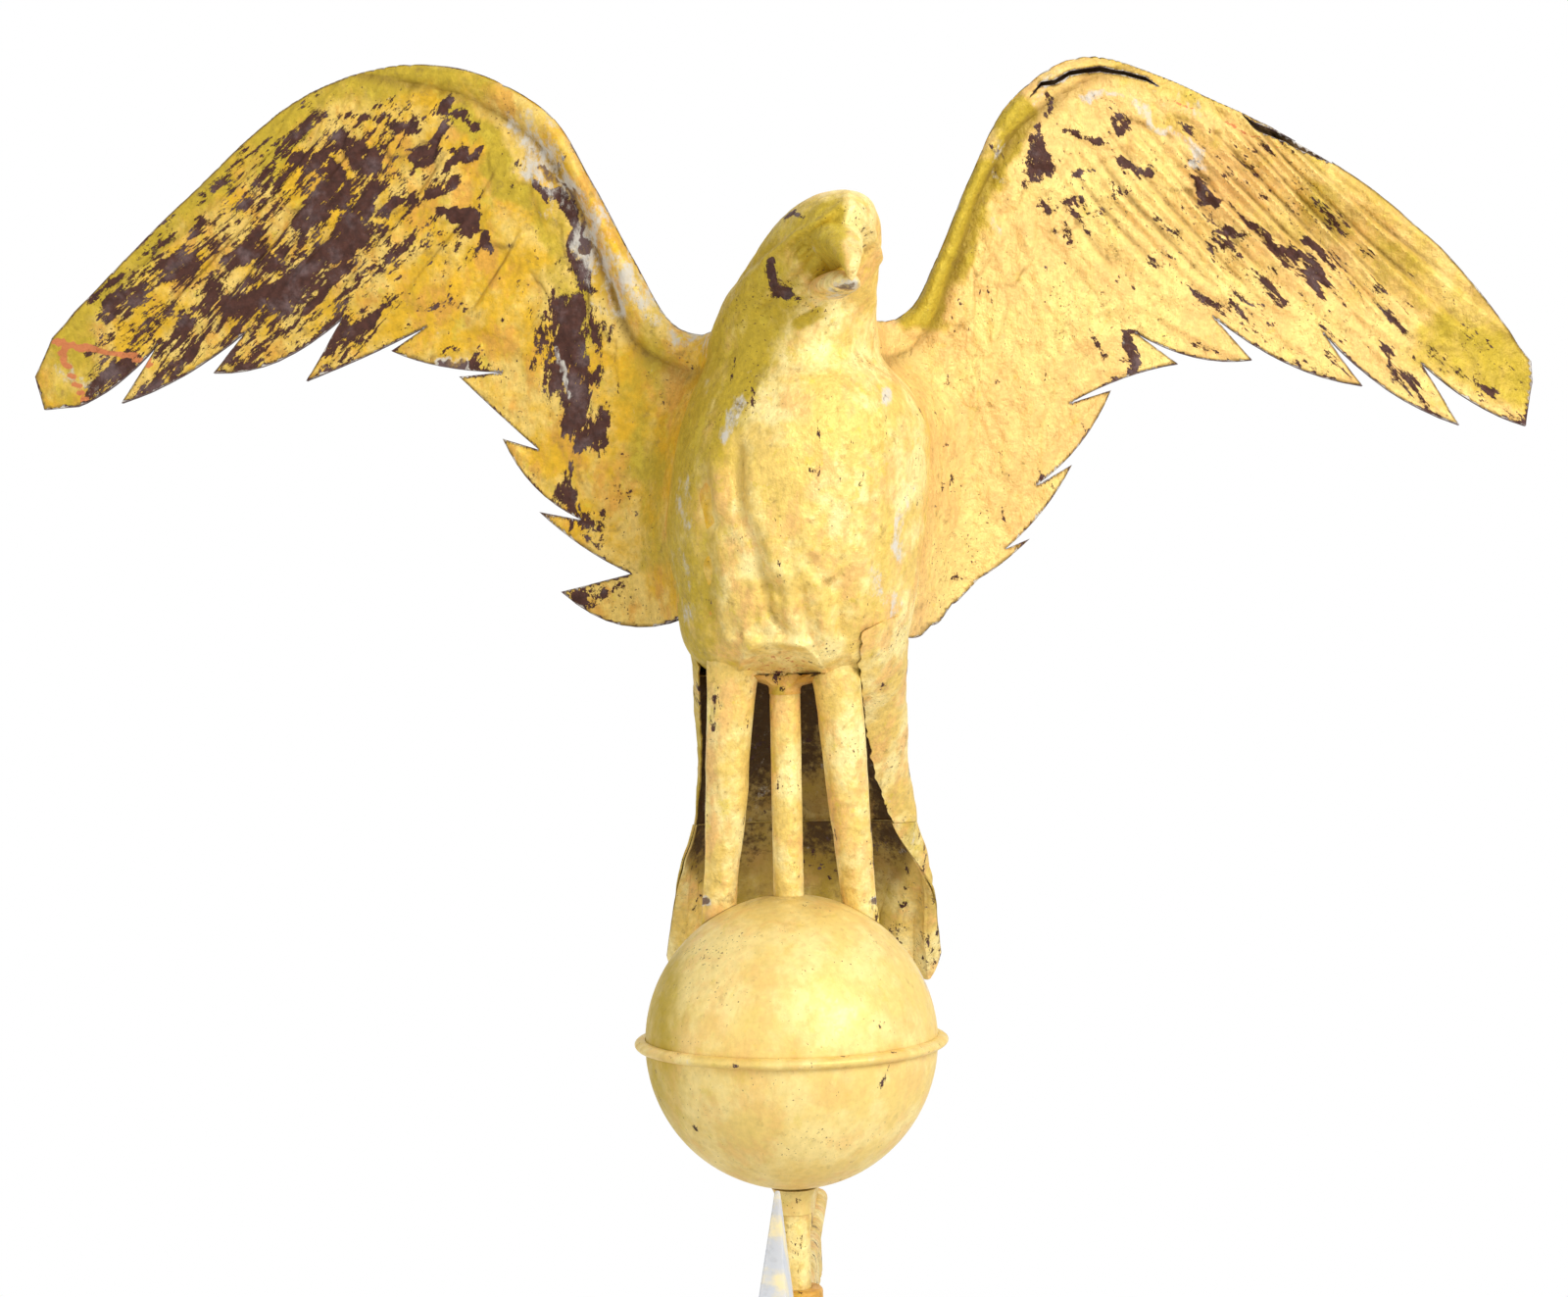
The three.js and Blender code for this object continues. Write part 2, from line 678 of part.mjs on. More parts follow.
// Breast, back, belly plate and chest brace
function buildTorso() {
  const breastRows = 14;
  const breastColumns = 16;
  const breast = (grow) => (row, column) => {
    const height = row / breastRows;
    const across = column / breastColumns;
    const turn = (across - 0.5) * Math.PI;
    const fade = Math.cos(turn) ** 2 * Math.min(1, 6 * height, 8 * (1 - height));
    const relief = BREAST_RELIEF * fade * (scales(across * 10, height * 9) - 1);
    const point = breastPoint(height, turn, grow + relief);
    point.y -= GAP / 2;
    return point;
  };
  const legs = legBody(1, GAP).add(legBody(-1, GAP));
  const breastSkin = sheetSolid(breastRows, breastColumns, breast(0), breast(-SHEET));
  addPiece("breast_shell", mainBody(breastSkin.subtract(legs)), gilt);

  const backRows = 14;
  const backColumns = 14;
  const back = (grow) => (row, column) => {
    const height = row / backRows;
    const across = column / backColumns;
    const hip = 1 - THREE.MathUtils.smoothstep(height, 0.42, 0.5);
    const wrap = HIP_WRAP * THREE.MathUtils.smoothstep(height, 0, 0.34) * hip;
    const turn = (2 * across - 1) * (Math.PI / 2 + wrap);
    const fade = Math.cos(turn) ** 2 * Math.min(1, 6 * height, 8 * (1 - height));
    const relief = BREAST_RELIEF * fade * (scales(across * 8, height * 8) - 1);
    const point = backPoint(height, -turn, grow + relief);
    point.y += GAP / 2;
    return point;
  };
  const backSkin = sheetSolid(backRows, backColumns, back(0), back(-SHEET));
  addPiece("back_shell", mainBody(backSkin.subtract(breastBody(ROOT_GAP)).subtract(legs)), gilt);

  const plateTop = TORSO_FOOT - GAP;
  const tubeHole = rod(
    new THREE.Vector3(0, 0, tubeFoot()),
    new THREE.Vector3(0, 0, TUBE_TOP),
    TUBE_RADIUS + GAP,
  );
  const plate = platePrism(0, plateTop - SHEET, plateTop, 0);
  addPiece("belly_plate", mainBody(plate.subtract(tubeHole).subtract(legs)), copper);
  const braceShare = (BRACE_HEIGHT - TORSO_FOOT) / TORSO_RISE;
  const brace = platePrism(braceShare, BRACE_HEIGHT, BRACE_HEIGHT + 2 * SHEET, SHEET + BREAST_RELIEF);
  addPiece("chest_brace", mainBody(brace.subtract(tubeHole)), copper);
}

// A flat plate across the front of the torso at a share of its rise, from one height to another.
function platePrism(height, foot, top, inset) {
  const steps = 12;
  const outline = [];
  for (let step = 0; step <= steps; step++) {
    const turn = (step / steps - 0.5) * Math.PI;
    const point = breastPoint(height, turn, -inset - GAP);
    outline.push(new THREE.Vector2(point.x, point.y));
  }
  const shape = new THREE.Shape(outline);
  const geometry = new THREE.ExtrudeGeometry(shape, { depth: top - foot, bevelEnabled: false });
  return solidOf(geometry.translate(0, 0, foot));
}

// Neck and head: one skin, open at the neck
function buildHead() {
  const rows = 10;
  const sides = 18;
  const skin = (grow) => (row, column) => {
    const height = row / rows;
    const turn = (-column / sides) * 2 * Math.PI;
    const point = headPoint(height, turn, grow * Math.min(1, 6 * (1 - height)));
    point.z += height === 1 && grow < 0 ? grow : 0;
    point.z += GAP * (1 - height);
    return point;
  };
  addPiece("head_shell", sheetSolid(rows, sides, skin(0), skin(-SHEET), true), gilt);
  const head = headBody(ROOT_GAP);
  const upper = beakBody(BEAK_SHARES, BEAK_DEPTH, 0).subtract(head);
  const mouth = beakBody(BEAK_SHARES, BEAK_DEPTH, GAP);
  const lower = beakBody(JAW_SHARES, JAW_DEPTH, 0).subtract(head).subtract(mouth);
  addPiece("beak_upper", mainBody(upper), gilt);
  addPiece("beak_lower", mainBody(lower), gilt);
}

// One half of the beak: a loft along a curve that leaves the head's front and hooks down.
function beakBody(table, deep, grow) {
  const root = headPoint(BEAK_RISE / HEAD_RISE, 0, 0);
  const facing = new THREE.Vector3(Math.sin(HEAD_TURN), -Math.cos(HEAD_TURN), 0);
  const beside = new THREE.Vector3(Math.cos(HEAD_TURN), Math.sin(HEAD_TURN), 0);
  const middle = (row) => {
    const [reach, drop] = table[row];
    const point = root.clone().addScaledVector(facing, BEAK_REACH * reach);
    point.z += BEAK_REACH * drop;
    return point;
  };
  const last = table.length - 1;
  const sides = 12;
  return loftSolid(last, sides, (row, turn) => {
    const along = middle(Math.min(row + 1, last)).sub(middle(Math.max(row - 1, 0))).normalize();
    const up = new THREE.Vector3().crossVectors(beside, along);
    const [, , wide, thick] = table[row];
    return middle(row)
      .addScaledVector(beside, (BEAK_WIDTH * wide + grow) * Math.cos(turn))
      .addScaledVector(up, (deep * thick + grow) * Math.sin(turn));
  });
}

// Legs, cut to sit on the ball
function buildLegs() {
  for (const [name, side] of [["leg_left", 1], ["leg_right", -1]]) {
    const skin = (grow) => (row, column) => {
      const turn = (column / LEG_SIDES) * 2 * Math.PI;
      return legRing(side, row / LEG_ROWS, turn, grow);
    };
    const leg = sheetSolid(LEG_ROWS, LEG_SIDES, skin(0), skin(-SHEET), true);
    addPiece(name, mainBody(leg.subtract(ballBody(BALL_RADIUS + GAP))), gilt);
  }
}

// A wing's outline: the leading edge, the tip's own feather, then each feather's point and notch back to the root.
function wingOutline(side, lead, tip, teeth) {
  const place = ([x, z]) => new THREE.Vector2(side * WING_REACH * x, WING_FOOT + WING_RISE * z);
  const points = new THREE.SplineCurve(lead.map(place)).getPoints(2 * lead.length);
  points.push(...tip.map(place));
  for (const [x, z, bellyX, bellyZ, notchX, notchZ] of teeth) {
    const corners = [place([x, z]), place([bellyX, bellyZ]), place([notchX, notchZ])];
    points.push(...new THREE.QuadraticBezierCurve(...corners).getPoints(3));
  }
  const inside = Math.min(...points.map((point) => Math.abs(point.x))) * 0.5;
  points.push(new THREE.Vector2(side * inside, points[points.length - 1].y));
  points.push(new THREE.Vector2(side * inside, points[0].y));
  return points;
}

// A place in the wing's own plane: s runs from the root feather to the outermost one, u from arm to tip.
function fanPlace(s, u) {
  const [start, bend, end] = [FAN_START_SHARES, FAN_BEND_SHARES, FAN_END_SHARES].map(
    (table) => new THREE.Vector2(blend(table, s, 0), blend(table, s, 1)),
  );
  const place = start.multiplyScalar((1 - u) ** 2);
  place.addScaledVector(bend, 2 * u * (1 - u));
  return place.addScaledVector(end, u * u);
}

// How far back the wing's middle surface lies, at shares of its reach and rise.
function wingSet(x, z) {
  const reach = THREE.MathUtils.clamp(x, 0, 1.1);
  const cup = 4 * WING_CUP * reach * (1 - Math.min(reach, 1));
  return WING_ROOT_PLACE + WING_SWEEP * reach ** 1.5 + WING_LEAN * (1 - z) + cup;
}

// The height of the wing's relief: the arm roll, the coverts' step and the flight feathers' ridges.
function wingRelief(s, u, arm) {
  const across = THREE.MathUtils.clamp((2 * u) / ARM_SHARE - 1, -1, 1);
  const roll = arm * Math.sqrt(1 - across * across);
  const covert = COVERT_STEP * (1 - THREE.MathUtils.smoothstep(u, COVERT_SHARE - 0.1, COVERT_SHARE));
  const onCovert = covert * THREE.MathUtils.smoothstep(u, 0, ARM_SHARE);
  const feathers = (FAN_START_SHARES.length - 1) * RIDGES_PER_FEATHER;
  const ridge = FEATHER_RIDGE * Math.abs(Math.sin(Math.PI * s * feathers));
  const shown = THREE.MathUtils.smoothstep(u, ARM_SHARE / 2, COVERT_SHARE);
  const flange = 1 - THREE.MathUtils.smoothstep(u, FLANGE_SHARE - 0.08, FLANGE_SHARE);
  return Math.max(roll, (onCovert + ridge * shown) * flange);
}

// One moulding of a wing. way is -1 for the front one, which bulges towards -Y, and 1 for the back one.
function wingSkin(side, way, outline) {
  const rows = FAN_ROW_SHARES.length - 1;
  const feathers = FAN_START_SHARES.length - 1;
  const columns = feathers * RIDGES_PER_FEATHER * (way < 0 ? 2 : 1);
  const face = (offset) => (row, column) => {
    const u = FAN_ROW_SHARES[row];
    const s = way < 0 ? column / columns : (column + 0.5) / columns;
    const place = fanPlace(Math.min(s, 1), u);
    const relief = wingRelief(Math.min(s, 1), u, way < 0 ? ARM_FRONT : ARM_BACK);
    const set = wingSet(place.x, place.y) + way * (GAP / 2 + relief + offset);
    return new THREE.Vector3(side * WING_REACH * place.x, set, WING_FOOT + WING_RISE * place.y);
  };
  const slab = sheetSolid(rows, columns, face(SHEET), face(0));
  const far = WING_ROOT_PLACE + WING_SWEEP + WING_LEAN + WING_CUP + ARM_BACK + OVERRUN;
  const cut = prism(outline, -far, 2 * far);
  return mainBody(slab.intersect(cut).subtract(torsoBody(ROOT_GAP)).subtract(headBody(ROOT_GAP)));
}

// Wings: a front and a back moulding on each side
function buildWings() {
  const sides = [
    ["left", 1, LEFT_LEAD_SHARES, LEFT_TIP_SHARES, LEFT_TEETH_SHARES],
    ["right", -1, RIGHT_LEAD_SHARES, RIGHT_TIP_SHARES, RIGHT_TEETH_SHARES],
  ];
  for (const [name, side, lead, tip, teeth] of sides) {
    const outline = wingOutline(side, lead, tip, teeth);
    addPiece("wing_" + name + "_front", wingSkin(side, -1, outline), giltWing);
    addPiece("wing_" + name + "_back", wingSkin(side, 1, outline), giltWing);
  }
}

// A point pushed off a surface along its normal. surface(down, across) gives the surface's own points.
function pushed(surface, down, across, distance) {
  const step = 0.01;
  const along = surface(down + step, across).sub(surface(down - step, across));
  const beside = surface(down, across + step).sub(surface(down, across - step));
  const normal = new THREE.Vector3().crossVectors(beside, along).normalize();
  return surface(down, across).addScaledVector(normal, distance);
}

// The tail's smooth surface: down from 0 at the rump to 1 at the tip, across from -1 to 1.
function tailSurface(down, across) {
  const turn = (across * Math.PI) / 2;
  const start = backPoint(0, -turn, 0);
  const open = THREE.MathUtils.lerp(1, 0.8, down);
  const fan = Math.sin(turn * open) / Math.sin((Math.PI / 2) * open);
  const half = THREE.MathUtils.lerp(CHEST_HALF * BACK_SHARES[0][2], TAIL_HALF, down);
  const middle = THREE.MathUtils.lerp(CHEST_HALF * BACK_SHARES[0][1], 0, down);
  const foot = RUMP_HEIGHT - TAIL_LENGTH + TAIL_ARCH * across * across;
  return new THREE.Vector3(
    middle - half * fan,
    THREE.MathUtils.lerp(start.y, TAIL_REACH - TAIL_ARCH * across * across, down),
    THREE.MathUtils.lerp(RUMP_HEIGHT - GAP, foot, down),
  );
}

// Tail: an outer sheet that carries on from the back, and an inner ribbed one under it
function buildTail() {
  const rows = 5;
  const columns = TAIL_FEATHERS * 3;
  const face = (depth) => (row, column) => {
    const down = row / rows;
    const across = (2 * column) / columns - 1;
    const feather = Math.abs(Math.sin((column / columns) * TAIL_FEATHERS * Math.PI));
    const relief = TAIL_RELIEF * (feather - 1) * Math.min(1, 2 * down);
    const hollow = depth > SHEET ? TAIL_HOLLOW * Math.sin(Math.PI * down) * (1 - across * across) : 0;
    const point = pushed(tailSurface, down, across, relief - hollow - depth);
    point.z -= TAIL_SCALLOP * feather * down ** 4;
    return point;
  };
  const under = SHEET + GAP;
  addPiece("tail_upper", sheetSolid(rows, columns, face(0), face(SHEET)), gilt);
  addPiece("tail_under", sheetSolid(rows, columns, face(under), face(under + SHEET)), gilt);
}

// Arrow: hub, shaft, zinc point and sheet feathers
function buildArrow() {
  const centre = new THREE.Vector3(0, 0, ARROW_HEIGHT);
  const ahead = (reach) => new THREE.Vector3(0, -reach, ARROW_HEIGHT);
  const up = (reach) => new THREE.Vector3(0, 0, ARROW_HEIGHT + reach);
  const boreDepth = HUB_RADIUS + GAP;
  const socket = SHAFT_RADIUS + GAP;
  const hub = rod(up(-HUB_HEIGHT / 2), up(HUB_HEIGHT / 2), HUB_RADIUS)
    .add(rod(ahead(BOSS_REACH), ahead(-BOSS_REACH), BOSS_RADIUS, BOSS_SIDES))
    .subtract(rod(up(-HUB_HEIGHT), up(HUB_HEIGHT), TUBE_RADIUS + GAP))
    .subtract(rod(ahead(boreDepth), ahead(BOSS_REACH + OVERRUN), socket, BOSS_SIDES))
    .subtract(rod(ahead(-boreDepth), ahead(-BOSS_REACH - OVERRUN), socket, BOSS_SIDES));
  const screwFrom = centre.clone().setX(TUBE_RADIUS + 2 * GAP);
  const screwTo = centre.clone().setX(HUB_RADIUS + SCREW_PROUD);
  const screwEnd = centre.clone().setX(HUB_RADIUS + OVERRUN);
  const screwHole = rod(screwFrom, screwEnd, SCREW_RADIUS + GAP, BOSS_SIDES);
  addPiece("arrow_hub", hub.subtract(screwHole), copper);
  addPiece("hub_screw", rod(screwFrom, screwTo, SCREW_RADIUS, BOSS_SIDES), steel);
  const front = rod(ahead(boreDepth + GAP), ahead(SHAFT_FRONT), SHAFT_RADIUS, BOSS_SIDES);
  const rear = rod(ahead(-boreDepth - GAP), ahead(-SHAFT_REAR), SHAFT_RADIUS, BOSS_SIDES);
  addPiece("arrow_shaft_front", front, copper);
  addPiece("arrow_shaft_rear", rear, copper);
  const shaftSocket = rod(ahead(0), ahead(SHAFT_FRONT + GAP), socket, BOSS_SIDES);
  addPiece("arrow_head", mainBody(arrowPoint().subtract(shaftSocket)), zinc);
  addPiece("arrow_fletch_upper", fletch(1), gilt);
  addPiece("arrow_fletch_lower", fletch(-1), gilt);
}

// A flat outline in Y and Z, extruded evenly to both sides along X.
function sidePlate(outline, thick) {
  const geometry = new THREE.ExtrudeGeometry(new THREE.Shape(outline), { depth: thick, bevelEnabled: false });
  const [x, y, z] = [0, 1, 2].map((axis) => new THREE.Vector3().setComponent(axis, 1));
  geometry.applyMatrix4(new THREE.Matrix4().makeBasis(y, z, x));
  return solidOf(geometry.translate(-thick / 2, 0, 0));
}

// The cast arrow point: its barbed side outline, met by the diamond of its section and the wedge of its nose
function arrowPoint() {
  const neck = SHAFT_RADIUS + SOCKET_WALL;
  const side = [
    [-POINT_REACH, 0],
    [-BARB_PLACE, -BARB_HEIGHT],
    [-BARB_NOTCH, -neck],
    [-BARB_NOTCH + SOCKET_DEPTH, -neck],
    [-BARB_NOTCH + SOCKET_DEPTH, neck],
    [-BARB_NOTCH, neck],
    [-BARB_PLACE, BARB_HEIGHT],
  ].map(([y, z]) => new THREE.Vector2(y, ARROW_HEIGHT + z));
  const [half, thin] = [HEAD_THICK / 2, EDGE_THICK / 2];
  const section = [
    [-thin, -BARB_HEIGHT],
    [thin, -BARB_HEIGHT],
    [half, -neck],
    [half, neck],
    [thin, BARB_HEIGHT],
    [-thin, BARB_HEIGHT],
    [-half, neck],
    [-half, -neck],
  ].map(([x, z]) => new THREE.Vector2(x, ARROW_HEIGHT + z));
  const nose = [
    [-thin, -POINT_REACH],
    [thin, -POINT_REACH],
    [half, -BARB_NOTCH],
    [half, 0],
    [-half, 0],
    [-half, -BARB_NOTCH],
  ].map(([x, y]) => new THREE.Vector2(x, y));
  const tall = 2 * (ARROW_HEIGHT + BARB_HEIGHT);
  const wedge = new THREE.ExtrudeGeometry(new THREE.Shape(nose), { depth: tall, bevelEnabled: false });
  return sidePlate(side, 2 * HEAD_THICK)
    .intersect(prism(section, -POINT_REACH - OVERRUN, 0))
    .intersect(solidOf(wedge));
}

// One sheet feather of the arrow's tail, raked back, its outer edge nicked. way is 1 above the shaft, -1 below.
function fletch(way) {
  const foot = SHAFT_RADIUS + GAP;
  const pitch = FLETCH_LENGTH / FLETCH_TEETH;
  const outline = [
    [FLETCH_ROOT, foot],
    [FLETCH_ROOT + FLETCH_LENGTH, foot],
    [FLETCH_ROOT + FLETCH_LENGTH + FLETCH_RAKE, FLETCH_HEIGHT],
  ];
  for (let tooth = FLETCH_TEETH - 1; tooth >= 1; tooth--) {
    const back = FLETCH_ROOT + FLETCH_RAKE + pitch * tooth;
    outline.push([back, FLETCH_HEIGHT], [back - FLETCH_NICK / 2, FLETCH_HEIGHT - FLETCH_NICK]);
  }
  outline.push([FLETCH_ROOT + FLETCH_RAKE, FLETCH_HEIGHT - FLETCH_NICK]);
  const points = outline.map(([y, z]) => new THREE.Vector2(y, ARROW_HEIGHT + way * z));
  return sidePlate(way > 0 ? points : points.reverse(), SHEET);
}

buildMast();
buildTube();
buildBall();
buildTorso();
buildHead();
buildLegs();
buildWings();
buildTail();
buildArrow();

export default weathervane;
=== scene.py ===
"""Looks of the eagle weathervane: gilded sheet copper, worn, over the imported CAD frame."""

import math

import bmesh
import bpy
import numpy as np
from mathutils import Matrix, Vector, noise


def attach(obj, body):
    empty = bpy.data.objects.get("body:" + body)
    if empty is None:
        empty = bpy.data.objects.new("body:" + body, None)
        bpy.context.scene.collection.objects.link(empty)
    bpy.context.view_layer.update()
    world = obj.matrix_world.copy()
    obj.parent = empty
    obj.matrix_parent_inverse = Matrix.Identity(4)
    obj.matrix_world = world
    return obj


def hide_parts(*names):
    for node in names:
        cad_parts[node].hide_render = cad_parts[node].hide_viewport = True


bl_info = {
    "name": "Eagle Weathervane",
    "version": (1, 0, 0),
    "blender": (4, 5, 0),
    "location": "3D View > Sidebar > Weathervane",
    "description": "Builds the gilded eagle, its ball, arrow and spindle over the packed frame",
    "category": "Add Mesh",
}

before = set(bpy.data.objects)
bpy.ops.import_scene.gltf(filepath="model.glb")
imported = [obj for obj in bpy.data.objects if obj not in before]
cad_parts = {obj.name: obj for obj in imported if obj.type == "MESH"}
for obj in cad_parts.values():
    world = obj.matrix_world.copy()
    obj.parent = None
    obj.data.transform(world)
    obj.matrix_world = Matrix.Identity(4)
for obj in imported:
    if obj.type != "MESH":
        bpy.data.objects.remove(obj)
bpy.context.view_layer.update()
MM = 0.001

# Breast: height in the torso's rise, then middle and half width in the chest's, and depth before the seam
BREAST_SHARES = [
    (0.0, 0.06, 0.62, 0.42),
    (0.05, 0.07, 0.78, 0.6),
    (0.13, 0.08, 0.88, 0.72),
    (0.28, 0.1, 0.94, 0.86),
    (0.45, 0.1, 1.0, 0.95),
    (0.62, 0.14, 1.0, 1.0),
    (0.78, 0.18, 0.97, 0.98),
    (0.9, 0.17, 0.86, 0.9),
    (1.0, 0.12, 0.7, 0.82),
    (1.099, 0.124, 0.64, 0.84),
]
# Back: height from rump to neck, middle, half width, set back towards the tail, depth behind that
BACK_SHARES = [
    (0.0, 0.07, 0.92, 0.52, 0.44),
    (0.12, 0.08, 0.86, 0.39, 0.5),
    (0.24, 0.09, 0.84, 0.25, 0.56),
    (0.34, 0.1, 0.84, 0.09, 0.73),
    (0.43, 0.1, 0.87, 0.0, 0.84),
    (0.52, 0.1, 0.94, 0.0, 0.87),
    (0.64, 0.1, 1.0, 0.0, 0.88),
    (0.75, 0.14, 1.0, 0.0, 0.87),
    (0.85, 0.18, 0.97, 0.0, 0.78),
    (0.93, 0.17, 0.86, 0.0, 0.6),
    (1.0, 0.12, 0.7, 0.0, 0.38),
    (1.065, 0.124, 0.64, 0.0, 0.42),
]
# Head: height in its rise, shift, half width, reach forward, depth before and behind its middle
HEAD_SHARES = [
    (-0.2025, 0.4, 0.86, 0.0, 0.9, 0.6),
    (0.0, 0.28, 0.7, 0.0, 0.82, 0.38),
    (0.2, 0.29, 0.64, 0.2, 0.69, 0.42),
    (0.4, 0.45, 0.57, 0.45, 0.66, 0.46),
    (0.58, 0.68, 0.49, 0.7, 0.68, 0.5),
    (0.75, 0.9, 0.41, 0.9, 0.62, 0.5),
    (0.88, 1.04, 0.31, 1.0, 0.5, 0.42),
    (0.96, 1.13, 0.2, 1.0, 0.32, 0.26),
    (1.0, 1.18, 0.0, 1.0, 0.0, 0.0),
]
# Beak halves along their curves: reach forward, drop, half width, half depth
BEAK_SHARES = [
    (-0.5, 0.22, 1.2, 1.35),
    (0.12, 0.1, 1.04, 1.16),
    (0.48, -0.03, 0.82, 0.9),
    (0.78, -0.2, 0.58, 0.62),
    (0.97, -0.42, 0.34, 0.4),
    (1.0, -0.64, 0.1, 0.12),
]
JAW_SHARES = [
    (-0.5, -0.58, 0.85, 1.0),
    (0.2, -0.6, 0.82, 0.92),
    (0.55, -0.62, 0.66, 0.7),
    (0.8, -0.6, 0.4, 0.45),
    (0.9, -0.58, 0.12, 0.15),
]

# Wing outlines in shares of reach and rise: leading edge and tip, then each tooth's point, belly and notch
RIGHT_LEAD_SHARES = [
    (0.04, 0.49),
    (0.134, 0.509),
    (0.192, 0.635),
    (0.245, 0.773),
    (0.308, 0.903),
    (0.451, 0.989),
    (0.63, 0.952),
    (0.82, 0.76),
    (1.004, 0.54),
]
LEFT_LEAD_SHARES = [
    (0.05, 0.49),
    (0.157, 0.52),
    (0.203, 0.617),
    (0.249, 0.758),
    (0.306, 0.893),
    (0.41, 0.966),
    (0.574, 0.89),
    (0.757, 0.758),
    (0.888, 0.605),
    (0.992, 0.432),
]
RIGHT_TIP_SHARES = [(1.033, 0.472), (1.022, 0.411)]
LEFT_TIP_SHARES = [(0.994, 0.396), (0.989, 0.359)]
RIGHT_TEETH_SHARES = [
    (0.973, 0.414, 0.92, 0.433, 0.852, 0.522),
    (0.908, 0.417, 0.819, 0.448, 0.728, 0.537),
    (0.775, 0.465, 0.685, 0.455, 0.592, 0.554),
    (0.644, 0.444, 0.568, 0.479, 0.475, 0.533),
    (0.525, 0.492, 0.468, 0.454, 0.373, 0.446),
    (0.432, 0.441, 0.38, 0.371, 0.327, 0.307),
    (0.375, 0.328, 0.345, 0.229, 0.272, 0.18),
    (0.328, 0.196, 0.272, 0.123, 0.207, 0.082),
    (0.302, 0.053, 0.224, -0.046, 0.133, 0.002),
]
LEFT_TEETH_SHARES = [
    (0.984, 0.317, 0.91, 0.347, 0.844, 0.43),
    (0.894, 0.32, 0.792, 0.366, 0.712, 0.487),
    (0.764, 0.391, 0.659, 0.414, 0.566, 0.518),
    (0.617, 0.439, 0.542, 0.427, 0.463, 0.49),
    (0.519, 0.434, 0.446, 0.42, 0.375, 0.367),
    (0.43, 0.389, 0.397, 0.285, 0.33, 0.224),
    (0.377, 0.259, 0.344, 0.174, 0.288, 0.113),
    (0.32, 0.13, 0.279, 0.079, 0.253, 0.062),
    (0.226, 0.025, 0.22, 0.017, 0.216, 0.017),
    (0.202, -0.01, 0.197, -0.019, 0.188, -0.02),
    (0.179, -0.033, 0.172, -0.044, 0.157, -0.041),
]
# Feather fan in shares of reach and rise: where feathers leave the arm, bend, and pass the serrated edge
FAN_SHARES = [
    (0.0, 0.5, 0.05, 0.25, 0.02, -0.12),
    (0.15, 0.56, 0.19, 0.35, 0.33, -0.1),
    (0.2, 0.7, 0.25, 0.48, 0.38, 0.1),
    (0.24, 0.84, 0.3, 0.61, 0.42, 0.28),
    (0.3, 0.96, 0.36, 0.7, 0.47, 0.36),
    (0.39, 1.02, 0.44, 0.75, 0.56, 0.39),
    (0.47, 1.04, 0.52, 0.79, 0.68, 0.36),
    (0.52, 1.05, 0.6, 0.82, 0.82, 0.33),
    (0.55, 1.05, 0.68, 0.86, 0.96, 0.25),
    (0.57, 1.05, 0.76, 0.9, 1.12, 0.28),
    (0.6, 1.05, 0.84, 0.94, 1.12, 0.55),
]
# Arm roll along the fan: place, width in the feather's length, height in the arm's, start along the feather
ARM_ROWS = [
    (0.0, 0.2, 0.9, 0.0),
    (0.2, 0.21, 1.0, 0.0),
    (0.32, 0.2, 1.0, 0.0),
    (0.42, 0.17, 0.85, 0.02),
    (0.52, 0.12, 0.55, 0.04),
    (0.7, 0.09, 0.35, 0.05),
    (1.0, 0.07, 0.25, 0.05),
]
PANEL_INSET = 0.006
MIDRIB_WIDTH = 0.0021
COVERTS = 13
# Where a wing's sheets end inside the body, and how softly they run into it
WING_INNER = 0.026
ROOT_BLEND = 0.034

# Creases and lumps of the breast, as height, width, then points along it, all in millimetres
BREAST_FOLDS = [
    (-3.0, 4.0, (-19, 570), (-19, 551), (-17, 537), (-11, 522), (-9, 507), (1, 497)),
    (2.2, 6.0, (-12, 560), (-11, 538), (-3, 520), (0, 508)),
    (2.4, 5.0, (-31, 566), (-28, 552), (-30, 540)),
    (-1.8, 3.5, (-37, 560), (-36, 545), (-31, 533)),
    (1.6, 6.0, (-30, 525), (-27, 505), (-25, 488)),
    (-2.2, 4.5, (-38, 548), (-36, 520), (-37, 488)),
    (-2.8, 3.2, (-7, 499), (-5, 487), (4, 477)),
    (2.4, 4.5, (3, 505), (4, 492), (7, 480)),
    (-2.6, 3.0, (12, 498), (13, 486), (15, 474)),
    (2.2, 5.0, (20, 500), (21, 487), (24, 476)),
    (-2.0, 3.4, (16, 514), (20, 506), (26, 500)),
    (1.8, 7.0, (14, 530), (16, 516), (17, 508)),
    (-1.5, 3.4, (31, 505), (32, 490), (31, 476)),
    (1.4, 6.0, (40, 520), (40, 500), (38, 482)),
    (-1.5, 3.0, (51, 520), (50, 505), (49, 490)),
    (1.8, 4.0, (-16, 492), (-18, 480), (-15, 470)),
    (2.2, 3.2, (6, 474), (10, 469), (16, 472)),
    (2.2, 3.2, (-25, 474), (-19, 470), (-12, 473)),
    (1.2, 9.0, (4, 600), (4, 575), (2, 555)),
    (-0.9, 5.0, (1, 600), (3, 588)),
    (1.8, 3.0, (1, 632), (0, 622)),
]
# Creases and lumps of the head: height, width, then points as turn in degrees from the face and height
HEAD_FOLDS = [
    (2.4, 5.0, (0, 691), (0, 682), (0, 676)),
    (-1.4, 3.0, (-9, 680), (-16, 668), (-17, 656)),
    (-1.2, 3.0, (9, 680), (15, 670)),
    (-1.2, 4.0, (-60, 668), (-85, 660)),
    (1.4, 5.0, (-40, 636), (-46, 626), (-50, 616)),
    (1.2, 5.0, (30, 634), (34, 622)),
]
